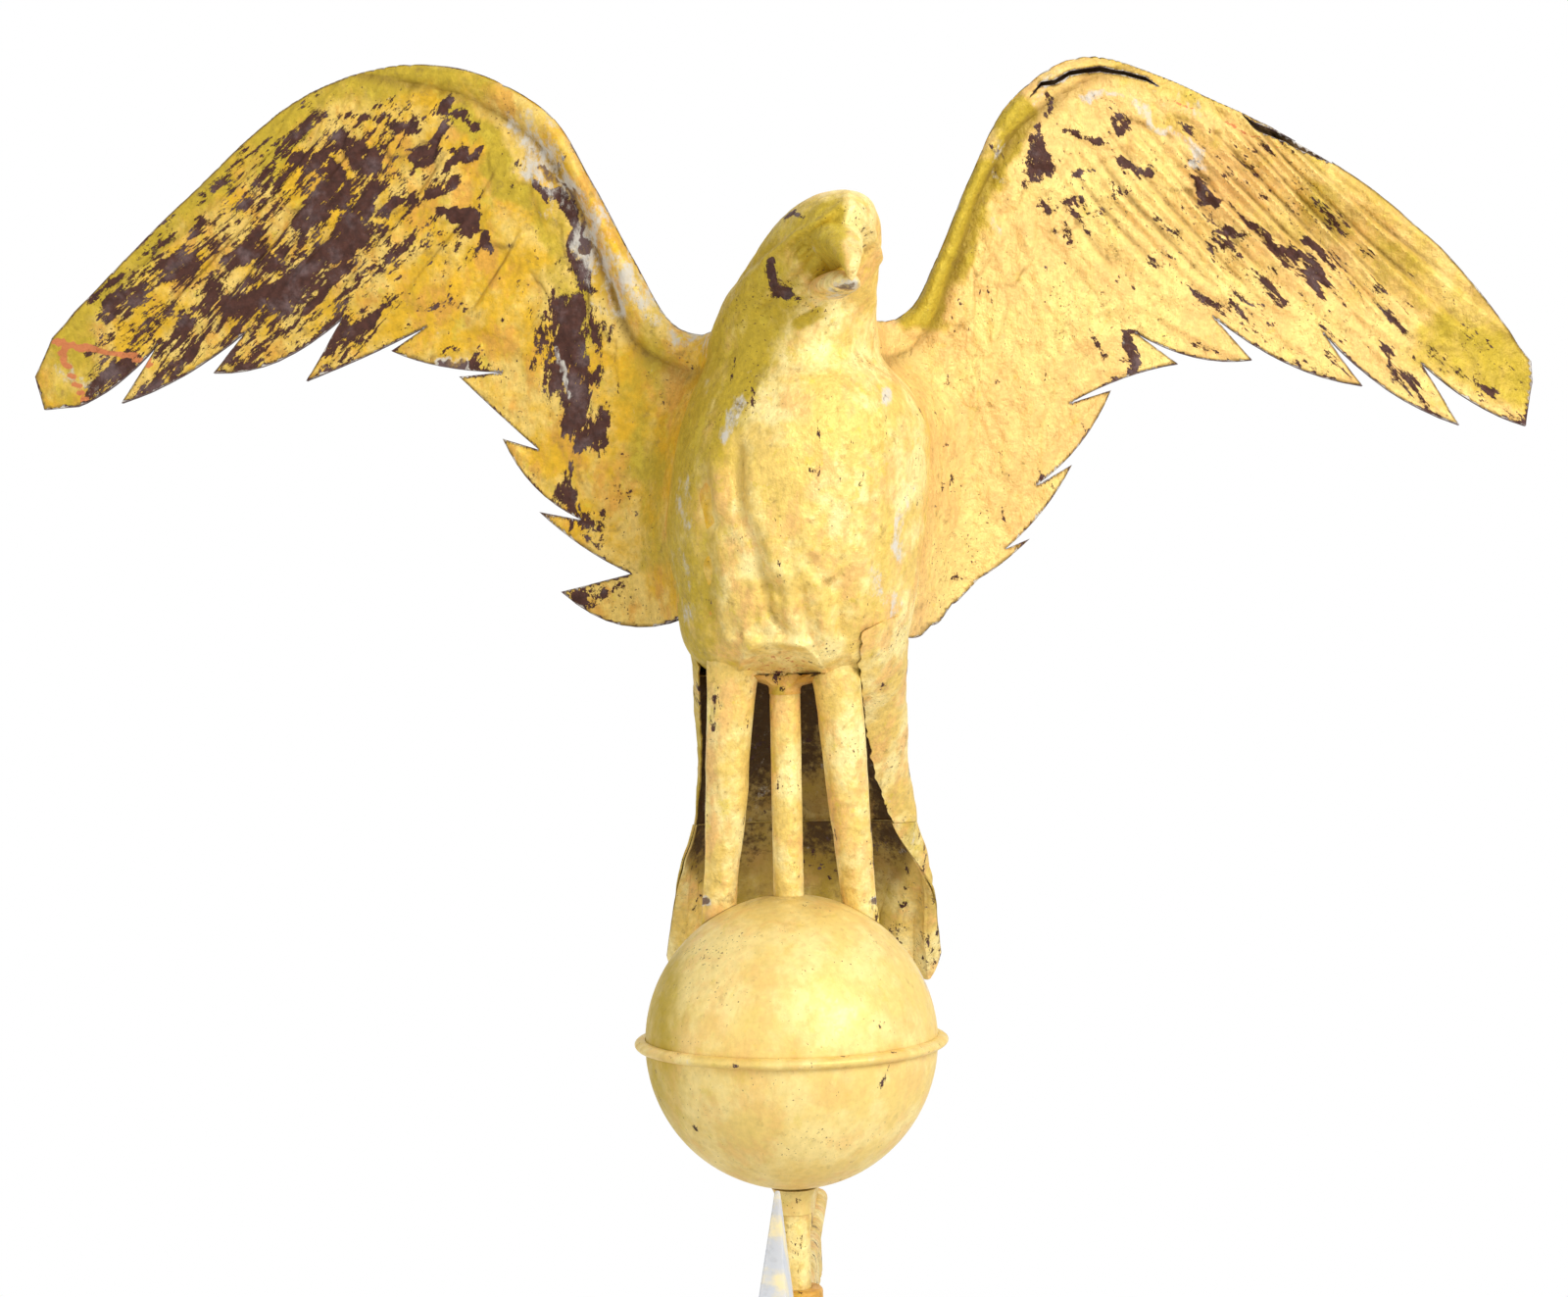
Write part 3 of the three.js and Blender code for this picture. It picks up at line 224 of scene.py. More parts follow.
# The same, for both sides of the face: brows, sockets, cheeks and corners of the beak
PAIRED_FOLDS = [
    (2.6, 3.0, (8, 684), (22, 677), (40, 672), (58, 664)),
    (-2.2, 3.4, (20, 668), (34, 666)),
    (1.8, 4.5, (24, 656), (42, 650), (60, 646)),
    (-1.6, 2.6, (14, 660), (22, 648), (30, 640)),
]
HEAD_FOLDS += [
    (rise, half, *[(way * a, h) for a, h in line]) for rise, half, *line in PAIRED_FOLDS for way in (-1, 1)
]
# Turns of the hips' sheet, left and right, in degrees: where the tail starts, and how much more above it
HIP_TURNS = (38, 8)
HIP_RISES = (16, 14)
# Eyes: turn from the face, height in millimetres; and the radius that turns on the head are measured on
EYE_TURN = math.radians(26)
EYE_HEIGHT = 664.5
HEAD_ROUND = 0.034
# Height of the hem's arch over the belly, how far its ends drop, half its width and depth behind it
ARCH_HEIGHT = 0.4695
ARCH_DROP = 0.013
ARCH_HALF = 0.021
ARCH_RECESS = 0.009

# Gap between fitted pieces, edges, and how far cutters and sheets run past what they cut or fill
FIT = 0.0003
FINE_EDGE = 0.0006
SOFT_EDGE = 0.0012
CUT_EDGE = 0.0001
CUT_SPARE = 0.015
SHEET_SPARE = 0.002
# Small pieces without settings of their own
BRACE_HEIGHT = 0.546
BRACE_THICK = 0.0024
BRACE_INSET = 0.0036
PLATE_INSET = 0.0016
FLARE_WALL = 0.0009
CAP_HEIGHT = 0.012
CAP_EDGE = 0.0008
DOME_RISE = 0.004
WASHER_RADIUS = 0.0125
WASHER_THICK = 0.0025
SCREW_PROUD = 0.0025
SCREW_EDGE = 0.0005
SLOT_DEPTH = 0.0011
SLOT_HALF = 0.0004
HUB_EDGE = 0.002
NECK_WALL = 0.003
NECK_LENGTH = 0.012
POINT_EDGE = 0.0007
NICK_DEPTH = 0.005
# Lamps: name, place and size; and where the floor's shadow starts to fade and is gone
LAMPS = (("key", (1.2, -1.45, 1.3), 0.9), ("fill", (-1.5, -1.2, 0.6), 1.6), ("top", (0.2, 0.6, 2.2), 1.6))
SHADOW_FADE = (0.16, 0.56)

# Tints that the gilding's finish mixes in, as the shader takes them
LEMON = (0.66, 0.5, 0.05)
TARNISH = (0.27, 0.17, 0.04)
# Soil, which also darkens creases and hollows as painted shade
SOIL_AND_SHADE = (0.22, 0.13, 0.025)

# Wear on the wings, as ends in shares of reach and rise, half width in millimetres and strength
RIGHT_FLAKES = [
    (0.62, 0.91, 0.7, 0.86, 9, 0.86),
    (0.7, 0.86, 0.77, 0.77, 8, 0.8),
    (0.62, 0.905, 0.53, 0.91, 3, 0.8),
    (0.58, 0.86, 0.55, 0.83, 6, 0.85),
    (0.645, 0.83, 0.59, 0.8, 6, 0.85),
    (0.66, 0.73, 0.59, 0.78, 7, 0.8),
    (0.58, 0.74, 0.55, 0.78, 6, 0.8),
    (0.525, 0.75, 0.48, 0.745, 3.4, 0.8),
    (0.58, 0.7, 0.65, 0.625, 15, 0.85),
    (0.61, 0.73, 0.67, 0.58, 12, 0.8),
    (0.77, 0.79, 0.785, 0.725, 9, 0.78),
    (0.84, 0.72, 0.9, 0.62, 10, 0.84),
    (0.8, 0.66, 0.88, 0.63, 9, 0.72),
    (0.945, 0.59, 0.87, 0.61, 5, 0.8),
    (0.81, 0.56, 0.81, 0.53, 8, 0.78),
    (0.77, 0.57, 0.67, 0.6, 7, 0.76),
    (0.44, 0.935, 0.44, 0.91, 4.4, 0.9),
    (0.51, 0.89, 0.48, 0.89, 3, 0.8),
    (0.42, 0.9, 0.4, 0.87, 3.4, 0.85),
    (0.5, 0.84, 0.44, 0.85, 3.4, 0.85),
    (0.43, 0.82, 0.405, 0.82, 2.6, 0.8),
    (0.46, 0.77, 0.41, 0.78, 3.4, 0.8),
    (0.455, 0.74, 0.41, 0.71, 4, 0.85),
    (0.4, 0.71, 0.39, 0.68, 3.4, 0.85),
    (0.31, 0.77, 0.29, 0.73, 3.6, 0.95),
    (0.29, 0.73, 0.25, 0.6, 4.4, 1.0),
    (0.262, 0.67, 0.252, 0.6, 6.5, 0.9),
    (0.28, 0.52, 0.262, 0.38, 17, 0.8),
    (0.3, 0.44, 0.26, 0.33, 11, 0.8),
    (0.9, 0.71, 0.8, 0.8, 7, 0.62),
    (0.74, 0.68, 0.62, 0.66, 12, 0.68),
    (0.28, 0.04, 0.24, 0.04, 5, 0.75),
    (0.9, 0.46, 0.8, 0.52, 8, 0.6),
    (0.68, 0.47, 0.76, 0.49, 6, 0.7),
    (0.44, 0.46, 0.4, 0.45, 4, 0.7),
    (0.3, 0.24, 0.24, 0.14, 6, 0.55),
]
LEFT_FLAKES = [
    (0.36, 0.91, 0.34, 0.84, 3.4, 0.9),
    (0.34, 0.84, 0.33, 0.76, 4, 0.9),
    (0.335, 0.79, 0.365, 0.78, 6.5, 0.8),
    (0.433, 0.846, 0.452, 0.836, 4.4, 0.9),
    (0.38, 0.83, 0.41, 0.826, 3, 0.85),
    (0.39, 0.767, 0.42, 0.758, 3, 0.85),
    (0.345, 0.705, 0.39, 0.694, 3.4, 0.85),
    (0.365, 0.67, 0.376, 0.655, 3.2, 0.75),
    (0.425, 0.733, 0.45, 0.745, 2.6, 0.85),
    (0.454, 0.79, 0.477, 0.775, 3, 0.85),
    (0.49, 0.64, 0.5, 0.61, 6, 0.9),
    (0.566, 0.648, 0.597, 0.635, 5.4, 0.9),
    (0.6, 0.74, 0.62, 0.715, 5, 0.85),
    (0.72, 0.7, 0.76, 0.66, 2.4, 0.85),
    (0.645, 0.785, 0.7, 0.766, 2.6, 0.9),
    (0.59, 0.7, 0.66, 0.62, 3.6, 0.95),
    (0.53, 0.77, 0.575, 0.72, 2.4, 0.9),
    (0.67, 0.64, 0.71, 0.59, 3.6, 1.0),
    (0.7, 0.64, 0.73, 0.617, 2.8, 0.95),
    (0.69, 0.587, 0.7, 0.55, 3.4, 1.0),
    (0.646, 0.587, 0.66, 0.556, 4.4, 0.85),
    (0.79, 0.577, 0.8, 0.56, 5.4, 0.9),
    (0.62, 0.546, 0.64, 0.543, 3, 0.8),
    (0.8, 0.516, 0.82, 0.485, 4.4, 0.85),
    (0.593, 0.822, 0.637, 0.808, 3.2, 0.85),
    (0.52, 0.855, 0.55, 0.84, 2.6, 0.8),
    (0.468, 0.466, 0.46, 0.44, 5, 0.9),
    (0.45, 0.43, 0.424, 0.4, 5, 0.9),
    (0.628, 0.464, 0.684, 0.429, 3.4, 0.95),
    (0.817, 0.427, 0.835, 0.39, 4.4, 0.9),
    (0.775, 0.445, 0.81, 0.447, 2.8, 0.85),
    (0.92, 0.36, 0.985, 0.41, 1.8, 0.95),
]
RIGHT_GREYS_AND_LIGHT = [
    (0.345, 0.875, 0.32, 0.83, 7, 0.74),
    (0.32, 0.83, 0.287, 0.764, 10, 0.8),
    (0.287, 0.764, 0.25, 0.69, 12, 0.82),
    (0.25, 0.69, 0.2, 0.59, 14, 0.78),
    (0.2, 0.59, 0.12, 0.52, 12, 0.72),
    # Painted light: two broad pale hazes that brighten the arm near the body
    (0.3, 0.82, 0.2, 0.6, 20, 0.62),
    (0.2, 0.6, 0.1, 0.5, 18, 0.62),
    (0.3, 0.8, 0.24, 0.64, 2, 1.0),
    (0.3, 0.5, 0.28, 0.4, 1.6, 0.9),
    (0.454, 0.472, 0.43, 0.464, 3.4, 1.0),
    (0.987, 0.5, 0.958, 0.415, 5.0, 0.66),
]
LEFT_GREYS = [
    (0.335, 0.91, 0.372, 0.93, 4, 0.8),
    (0.4, 0.9, 0.455, 0.893, 3, 1.0),
    (0.455, 0.893, 0.506, 0.834, 4, 1.0),
    (0.506, 0.834, 0.563, 0.783, 3.6, 0.95),
    (0.63, 0.783, 0.686, 0.777, 4, 0.5),
    (0.48, 0.9, 0.56, 0.87, 5, 0.62),
    (0.27, 0.81, 0.29, 0.775, 4, 0.75),
    (0.274, 0.705, 0.28, 0.66, 4, 0.7),
    (0.62, 0.86, 0.7, 0.81, 2.4, 0.8),
]
RIGHT_SCRATCHES = [
    (1.0, 0.535, 0.865, 0.487, 1.9, 1.0),
    (0.993, 0.515, 0.977, 0.468, 1.9, 1.0),
    (0.977, 0.465, 0.962, 0.415, 2.2, 0.9),
]
LEFT_SCRATCHES = [
    (0.515, 0.888, 0.54, 0.876, 1.1, 0.9),
    (0.586, 0.85, 0.655, 0.808, 1.1, 0.85),
]
# Olive on the wings: the greenish size, and painted shade in the valley inside the arm's roll and in hollows
RIGHT_OLIVES_AND_SHADE = [
    (0.42, 0.9, 0.32, 0.74, 7, 0.8),
    (0.32, 0.74, 0.26, 0.5, 8, 0.7),
    (0.17, 0.5, 0.17, 0.1, 9, 0.6),
    (0.62, 0.9, 0.95, 0.6, 6, 0.6),
    (0.995, 0.5, 0.97, 0.43, 16, 0.55),
]
LEFT_OLIVES_AND_SHADE = [
    (0.314, 0.876, 0.262, 0.725, 10, 1.0),
    (0.262, 0.725, 0.176, 0.523, 11, 1.0),
    (0.7, 0.72, 0.9, 0.52, 13, 0.7),
    (0.5, 0.86, 0.7, 0.74, 6, 0.6),
    (0.88, 0.46, 0.98, 0.4, 22, 0.9),
    (0.62, 0.7, 0.84, 0.5, 14, 0.5),
]
# Splits of the left wing's front sheet along its rim, showing the dark inside, with painted shadow along
# them: half width in metres, line
LEFT_SPLITS = [
    (
        0.0011,
        [
            *((0.328, 0.892), (0.343, 0.915), (0.36, 0.918), (0.38, 0.934)),
            *((0.42, 0.944), (0.452, 0.938), (0.48, 0.928), (0.498, 0.914)),
        ],
    ),
    (0.0019, [(0.606, 0.867), (0.622, 0.847), (0.65, 0.831), (0.68, 0.814), (0.709, 0.796), (0.73, 0.78)]),
]
# Wear on the body and head, as ends in millimetres, half width in millimetres and strength
BODY_GREYS = [
    (-26, 578, -18, 593, 4.4, 0.82),
    (56, 593, 57, 599, 2.6, 0.84),
    (-37, 602, -36, 607, 2.2, 0.8),
    (-49, 555, -48, 530, 6.0, 0.5),
    (49, 506, 50, 496, 4.0, 0.58),
    (57, 492, 54, 478, 4.4, 0.55),
    (-54, 524, -47, 480, 5.0, 0.5),
    (66, 550, 60, 516, 5.0, 0.5),
]
HEAD_FLAKES = [
    (0.5, 661, 1.5, 650, 2.6, 1.0),
    (2, 648, 8, 647, 3.0, 1.0),
    (9, 647, 14, 643.5, 1.3, 0.9),
    (8, 684, 13, 685.5, 1.8, 0.95),
    (14, 683.5, 17.5, 681, 1.3, 0.95),
]
# Olive on the head: a small patch under the beak, and a broad band of painted shade on the face's shaded side
HEAD_OLIVES_AND_SHADE = [
    (12, 632, 24, 637, 3.4, 0.8),
    (-10, 620, 14, 690, 12, 0.7),
]


def linear(red, green, blue):
    """A colour as it is seen, from 0 to 255, as the values that a shader takes."""
    return tuple(((c / 255 + 0.055) / 1.055) ** 2.4 if c > 10 else c / 3294.6 for c in (red, green, blue))


def length(name, description, default):
    """A size in metres."""
    return bpy.props.FloatProperty(
        name=name, description=description, default=default, unit="LENGTH", subtype="DISTANCE", precision=4
    )


def angle(name, description, degrees):
    """An angle, given in degrees."""
    turn = math.radians(degrees)
    return bpy.props.FloatProperty(name=name, description=description, default=turn, subtype="ANGLE")


def colour(name, description, red, green, blue):
    """A colour, given as it is seen."""
    seen = linear(red, green, blue)
    return bpy.props.FloatVectorProperty(
        name=name, description=description, default=seen, size=3, min=0, max=1, subtype="COLOR"
    )


class BodySizes(bpy.types.PropertyGroup):
    """Sizes of the eagle's body, head, legs and tail"""

    sheet: length("Sheet", "Thickness of the sheet copper", 0.0012)
    seam_place: length("Seam place", "How far behind the spindle the side seams lie", 0.012)
    torso_foot: length("Torso foot", "Height of the breast's hem", 0.456)
    torso_rise: length("Torso rise", "From the breast's hem to the neck", 0.162)
    chest_half: length("Chest half", "Half the chest's width", 0.068)
    chest_front: length("Chest front", "Depth of the chest before the seams", 0.07)
    back_depth: length("Back depth", "Depth of the back behind the seams", 0.064)
    rump_height: length("Rump height", "Height where the back ends and the tail starts", 0.372)
    head_rise: length("Head rise", "From the neck to the crown", 0.08)
    head_reach: length("Head reach", "How far the head leans forward", 0.058)
    head_shift: length("Head shift", "How far the head leans aside", 0.029)
    head_turn: angle("Head turn", "Turn of the face to the left", 15)
    beak_rise: length("Beak rise", "Height of the beak's root over the neck", 0.048)
    beak_reach: length("Beak reach", "Length of the beak", 0.034)
    beak_width: length("Beak width", "Half the beak's width", 0.0125)
    beak_depth: length("Beak depth", "Half the upper beak's depth", 0.0115)
    jaw_depth: length("Jaw depth", "Half the lower beak's depth", 0.0085)
    leg_top: length("Leg top", "Height of the legs' upper ends", 0.474)
    leg_foot: length("Leg foot", "Height of the legs' lower ends, inside the ball", 0.288)
    thigh: length("Thigh", "Radius of a leg at its top", 0.0145)
    ankle: length("Ankle", "Radius of a leg at its foot", 0.0082)
    hip_spread: length("Hip spread", "Half the distance between the legs at the top", 0.028)
    ankle_spread: length("Ankle spread", "Half the distance between the legs at the foot", 0.042)
    tail_length: length("Tail length", "From the rump to the tail's tip", 0.098)
    tail_half: length("Tail half", "Half the tail's width at its tip", 0.078)
    tail_reach: length("Tail reach", "How far the tail's tip lies behind the spindle", 0.165)
    tail_arch: length("Tail arch", "Rise of the tail's sides", 0.016)


class WingSizes(bpy.types.PropertyGroup):
    """Sizes of the wings"""

    reach: length("Reach", "From the spindle to the wing tip", 0.41)
    rise: length("Rise", "From the lowest root feather to the wrist", 0.305)
    foot: length("Foot", "Height of the lowest root feather", 0.486)
    root_place: length("Root place", "How far behind the spindle the wing's root lies", 0.012)
    sweep: length("Sweep", "How far back the tip is swept", 0.055)
    lean: length("Lean", "How far back the feathers lean", 0.025)
    cup: length("Cup", "Depth of the wing's hollow", 0.012)
    arm_front: length("Arm front", "Height of the arm's roll in front", 0.012)
    arm_back: length("Arm back", "Height of the arm's roll behind", 0.008)
    covert: length("Covert", "Step at the coverts' edge", 0.0024)
    ridge: length("Ridge", "Height of the feather ridges", 0.0026)
    feathers: bpy.props.IntProperty(name="Feathers", description="Ridges across a wing", default=20, min=6)


class TurnedSizes(bpy.types.PropertyGroup):
    """Sizes of the ball, tube and spindle"""

    ball_radius: length("Ball radius", "Radius of the ball", 0.0762)
    ball_centre: length("Ball centre", "Height of the ball's centre", 0.2645)
    bead_height: length("Bead height", "Height of the bead round the ball", 0.0058)
    bead_proud: length("Bead proud", "How far the bead stands out", 0.0052)
    flare_radius: length("Flare radius", "Radius of the ferrule under the ball", 0.012)
    flare_height: length("Flare height", "Height of that ferrule", 0.013)
    tube_radius: length("Tube radius", "Outer radius of the tube", 0.00795)
    tube_wall: length("Tube wall", "Wall of the tube", 0.00095)
    tube_foot: length("Tube foot", "Height of the tube's lower end", 0.1011)
    tube_top: length("Tube top", "Height of the tube's upper end", 0.573)
    spindle_radius: length("Spindle radius", "Radius of the fixed spindle", 0.00635)
    spindle_top: length("Spindle top", "Height of the spindle", 0.56)
    collar_radius: length("Collar radius", "Radius of the set collar", 0.014)
    collar_foot: length("Collar foot", "Height of the set collar", 0.082)
    collar_height: length("Collar height", "Length of the set collar", 0.016)
    screw_radius: length("Screw radius", "Radius of the set screws", 0.003)


class ArrowSizes(bpy.types.PropertyGroup):
    """Sizes of the arrow"""

    height: length("Height", "Height of the arrow's axis", 0.122)
    shaft_radius: length("Shaft radius", "Radius of the shaft", 0.006)
    shaft_front: length("Shaft front", "Length of the shaft before the spindle", 0.172)
    shaft_rear: length("Shaft rear", "Length of the shaft behind the spindle", 0.285)
    hub_radius: length("Hub radius", "Radius of the hub", 0.014)
    hub_height: length("Hub height", "Height of the hub", 0.028)
    boss_radius: length("Boss radius", "Radius of the hub's sockets", 0.01)
    boss_reach: length("Boss reach", "Length of the hub's sockets", 0.03)
    point_reach: length("Point reach", "From the spindle to the point", 0.29)
    barb_place: length("Barb place", "From the spindle to the barbs' tips", 0.15)
    barb_notch: length("Barb notch", "From the spindle to the notch between the barbs", 0.178)
    barb_height: length("Barb height", "Height of a barb over the axis", 0.096)
    head_thick: length("Head thick", "Thickness of the point at its middle", 0.026)
    edge_thick: length("Edge thick", "Thickness of its edges", 0.0024)
    fletch_root: length("Fletch root", "From the spindle to the sheet feathers", 0.165)
    fletch_length: length("Fletch length", "Length of the sheet feathers", 0.12)
    fletch_height: length("Fletch height", "Height of a sheet feather", 0.052)
    fletch_rake: length("Fletch rake", "How far they are raked back", 0.026)


class FinishColours(bpy.types.PropertyGroup):
    """Colours of the finishes"""

    gold: colour("Gold", "Gold leaf on the body", 228, 194, 104)
    pale: colour("Pale gold", "Gold leaf where it is thick", 246, 224, 152)
    warm: colour("Warm gold", "Gold leaf where it is rubbed thin", 232, 184, 110)
    # Olive also serves as painted shade, on the side away from the key lamp and in hollows
    olive: colour("Olive", "Gold leaf over the greenish yellow size", 190, 162, 48)
    # The right wing's more saturated gold and the left wing's paler gold are partly painted shade and light
    wing_gold: colour("Wing gold", "Gold leaf on the right wing", 218, 171, 40)
    wing_pale_lit: colour("Wing pale", "Thick gold leaf on the left wing", 246, 212, 126)
    wing_warm: colour("Wing warm", "Thin gold leaf on the right wing", 214, 158, 66)
    flake: colour("Flake", "Dark oxide where the leaf has flaked", 72, 42, 33)
    slate: colour("Slate", "Greyer oxide", 100, 80, 78)
    # Bloom also serves as painted light on the right wing's arm
    bloom_and_light: colour("Bloom", "Pale grey corrosion bloom", 206, 200, 188)
    copper: colour("Copper", "Bare copper in a scratch", 198, 122, 76)
    brown: colour("Brown", "Browned copper inside", 74, 52, 22)
    zinc: colour("Zinc", "Cast zinc", 200, 203, 208)
    steel: colour("Steel", "Dull steel", 118, 120, 124)


class StageSettings(bpy.types.PropertyGroup):
    """Floor, lamps and camera"""

    floor_half: length("Floor half", "Half the floor's width", 6.0)
    camera_distance: length("Camera distance", "From the spindle to the camera", 1.35)
    camera_height: length("Camera height", "Height of the camera", 0.469)
    camera_lens: bpy.props.FloatProperty(name="Lens", description="Focal length", default=59.4, unit="CAMERA")
    camera_turn: angle("Camera turn", "Turn of the camera about the vane", 3)
    camera_roll: angle("Camera roll", "Roll of the camera", 1.1)
    daylight: bpy.props.FloatProperty(
        name="Daylight", description="Strength of the light from all round", default=0.46, min=0
    )
    key_power: bpy.props.FloatProperty(
        name="Key power", description="Power of the main lamp", default=38, min=0, unit="POWER"
    )
    fill_power: bpy.props.FloatProperty(
        name="Fill power", description="Power of the second lamp", default=8, min=0, unit="POWER"
    )


class VaneSettings(bpy.types.PropertyGroup):
    """All that a user may change on the weathervane"""

    body: bpy.props.PointerProperty(type=BodySizes, name="Body", description="Sizes of the body")
    wing: bpy.props.PointerProperty(type=WingSizes, name="Wing", description="Sizes of the wings")
    turned: bpy.props.PointerProperty(type=TurnedSizes, name="Ball and spindle", description="Turned pieces")
    arrow: bpy.props.PointerProperty(type=ArrowSizes, name="Arrow", description="Sizes of the arrow")
    finish: bpy.props.PointerProperty(type=FinishColours, name="Finish", description="Colours")
    stage: bpy.props.PointerProperty(type=StageSettings, name="Stage", description="Floor, lamps and camera")


def ease(value, low, high):
    """A smooth step from 0 at low to 1 at high."""
    t = np.clip((value - low) / (high - low), 0, 1)
    return t * t * (3 - 2 * t)


def cubic(rows, places):
    """The columns of a table at places along its first one, smooth between its rows."""
    rows = np.asarray(rows, float)
    keys, values = rows[:, 0], rows[:, 1:]
    slopes = np.empty_like(values)
    slopes[1:-1] = (values[2:] - values[:-2]) / (keys[2:] - keys[:-2])[:, None]
    slopes[0] = (values[1] - values[0]) / (keys[1] - keys[0])
    slopes[-1] = (values[-1] - values[-2]) / (keys[-1] - keys[-2])
    low = np.clip(np.searchsorted(keys, places) - 1, 0, len(keys) - 2)
    span = (keys[low + 1] - keys[low])[:, None]
    t = np.clip((places - keys[low])[:, None] / span, 0, 1)
    lift = t * t * (3 - 2 * t)
    bend = t * (1 - t) ** 2 * span * slopes[low] + t * t * (t - 1) * span * slopes[low + 1]
    return (values[low] * (1 - lift) + values[low + 1] * lift + bend).T


def evenly(rows, places):
    """The columns of a table at places from 0 to 1 along it, smooth between its evenly spaced rows."""
    return cubic([(key, *row) for key, row in zip(np.linspace(0, 1, len(rows)), rows)], places)


def hill(value, half, power=2):
    """A smooth hill of height 1 where a value is 0, about a third as high at half to either side."""
    return np.exp(-((value / half) ** power))


def ripple(points, size, octaves=3, stretch=(1, 1, 1)):
    """Smooth noise of about -1 to 1 at each point, with bumps of a given size in metres."""
    scaled = points / (size * np.asarray(stretch))
    return np.array([noise.fractal(p, 1.0, 2.0, octaves) for p in scaled.tolist()])


def off_line(x, z, line):
    """Distance of each place to a line through points."""
    best = np.full(x.shape, 1e9)
    for (ax, az), (bx, bz) in zip(line[:-1], line[1:]):
        dx, dz = bx - ax, bz - az
        t = np.clip(((x - ax) * dx + (z - az) * dz) / max(dx * dx + dz * dz, 1e-12), 0, 1)
        best = np.minimum(best, np.hypot(x - ax - t * dx, z - az - t * dz))
    return best


def inside(x, z, outline):
    """Whether each place lies inside a closed outline."""
    hits = np.zeros(x.shape, bool)
    for (ax, az), (bx, bz) in zip(outline, outline[1:] + outline[:1]):
        if az != bz:
            hits ^= ((az > z) != (bz > z)) & (x < (bx - ax) * (z - az) / (bz - az) + ax)
    return hits


def worn(x, z, spots, unit=(MM, MM)):
    """How worn each place is by a list of spots: ends, half width in millimetres and strength."""
    best = np.zeros(x.shape)
    for ax, az, bx, bz, half, strength in spots:
        line = [(ax * unit[0], az * unit[1]), (bx * unit[0], bz * unit[1])]
        best = np.maximum(best, strength * (1 - ease(off_line(x, z, line), 0.4 * half * MM, 1.8 * half * MM)))
    return best


def folded(x, z, folds):
    """The height, in metres, that creases and lumps add at each place."""
    total = np.zeros(x.shape)
    for rise, half, *line in folds:
        near = off_line(x, z, [(a * MM, b * MM) for a, b in line])
        total += rise * MM * hill(near, half * MM)
    return total


def places_of(mesh):
    """A mesh's points as an array."""
    flat = np.empty(len(mesh.vertices) * 3, np.float32)
    mesh.vertices.foreach_get("co", flat)
    return flat.reshape(-1, 3).astype(float)


def skin(name, columns, rows, place, behind, ringed=False, kept=None):
    """A sheet's outer face: a grid moved by place(across, down), from 0 to 1, facing away from a point."""
    bm = bmesh.new()
    bm.loops.layers.uv.new("skin")
    bmesh.ops.create_grid(bm, x_segments=columns, y_segments=rows, size=0.5, calc_uvs=True)
    mesh = bpy.data.meshes.new(name)
    bm.to_mesh(mesh)
    flat = places_of(mesh)
    points = place(flat[:, 0] + 0.5, flat[:, 1] + 0.5)
    mesh.vertices.foreach_set("co", points.astype(np.float32).ravel())
    if kept is not None:
        grime_and_shade = mesh.attributes.new("grime_and_shade", "FLOAT", "POINT")
        grime_and_shade.data.foreach_set("value", kept["dirt_and_shade"].astype(np.float32))
    bm.free()
    bm = bmesh.new()
    bm.from_mesh(mesh)
    if ringed:
        bmesh.ops.remove_doubles(bm, verts=bm.verts, dist=1e-7)
    bm.normal_update()
    out = sum(f.normal.dot(f.calc_center_median() - Vector(behind)) * f.calc_area() for f in bm.faces)
    if out < 0:
        bmesh.ops.reverse_faces(bm, faces=bm.faces)
    bm.to_mesh(mesh)
    bm.free()
    return mesh


def dirt_and_shade_of(mesh):
    """The grime and painted shade that lie in a skin's creases, as its shape left it."""
    grime_and_shade = mesh.attributes["grime_and_shade"]
    values = np.empty(len(mesh.vertices), np.float32)
    grime_and_shade.data.foreach_get("value", values)
    mesh.attributes.remove(grime_and_shade)
    return values


def paint(mesh, flake=0.0, olive=0.0, grey=0.0, dirt_and_shade=0.0, scratch=0.0):
    """Stores how worn each point is, with the painted shade and light that its olive, grey and grime values
    carry, for the finishes to read.
    """
    count = len(mesh.vertices)
    layers = [np.broadcast_to(np.asarray(v, float), (count,)) for v in (flake, olive, grey, dirt_and_shade)]
    for name in ("wear", "scratch"):
        old = mesh.attributes.get(name)
        if old:
            mesh.attributes.remove(old)
    wear = mesh.attributes.new("wear", "FLOAT_COLOR", "POINT")
    wear.data.foreach_set("color", np.clip(np.stack(layers, 1), 0, 1).astype(np.float32).ravel())
    line = mesh.attributes.new("scratch", "FLOAT", "POINT")
    line.data.foreach_set("value", np.broadcast_to(np.asarray(scratch, np.float32), (count,)).copy())


def shown(name, mesh):
    """An object for a mesh."""
    piece = bpy.data.objects.new(name, mesh)
    bpy.context.scene.collection.objects.link(piece)
    return piece


def settle(piece):
    """Works an object's modifiers into its mesh."""
    bpy.context.view_layer.update()
    view = bpy.context.evaluated_depsgraph_get()
    old = piece.data
    piece.data = bpy.data.meshes.new_from_object(piece.evaluated_get(view))
    piece.data.name = piece.name
    piece.modifiers.clear()
    bpy.data.meshes.remove(old)


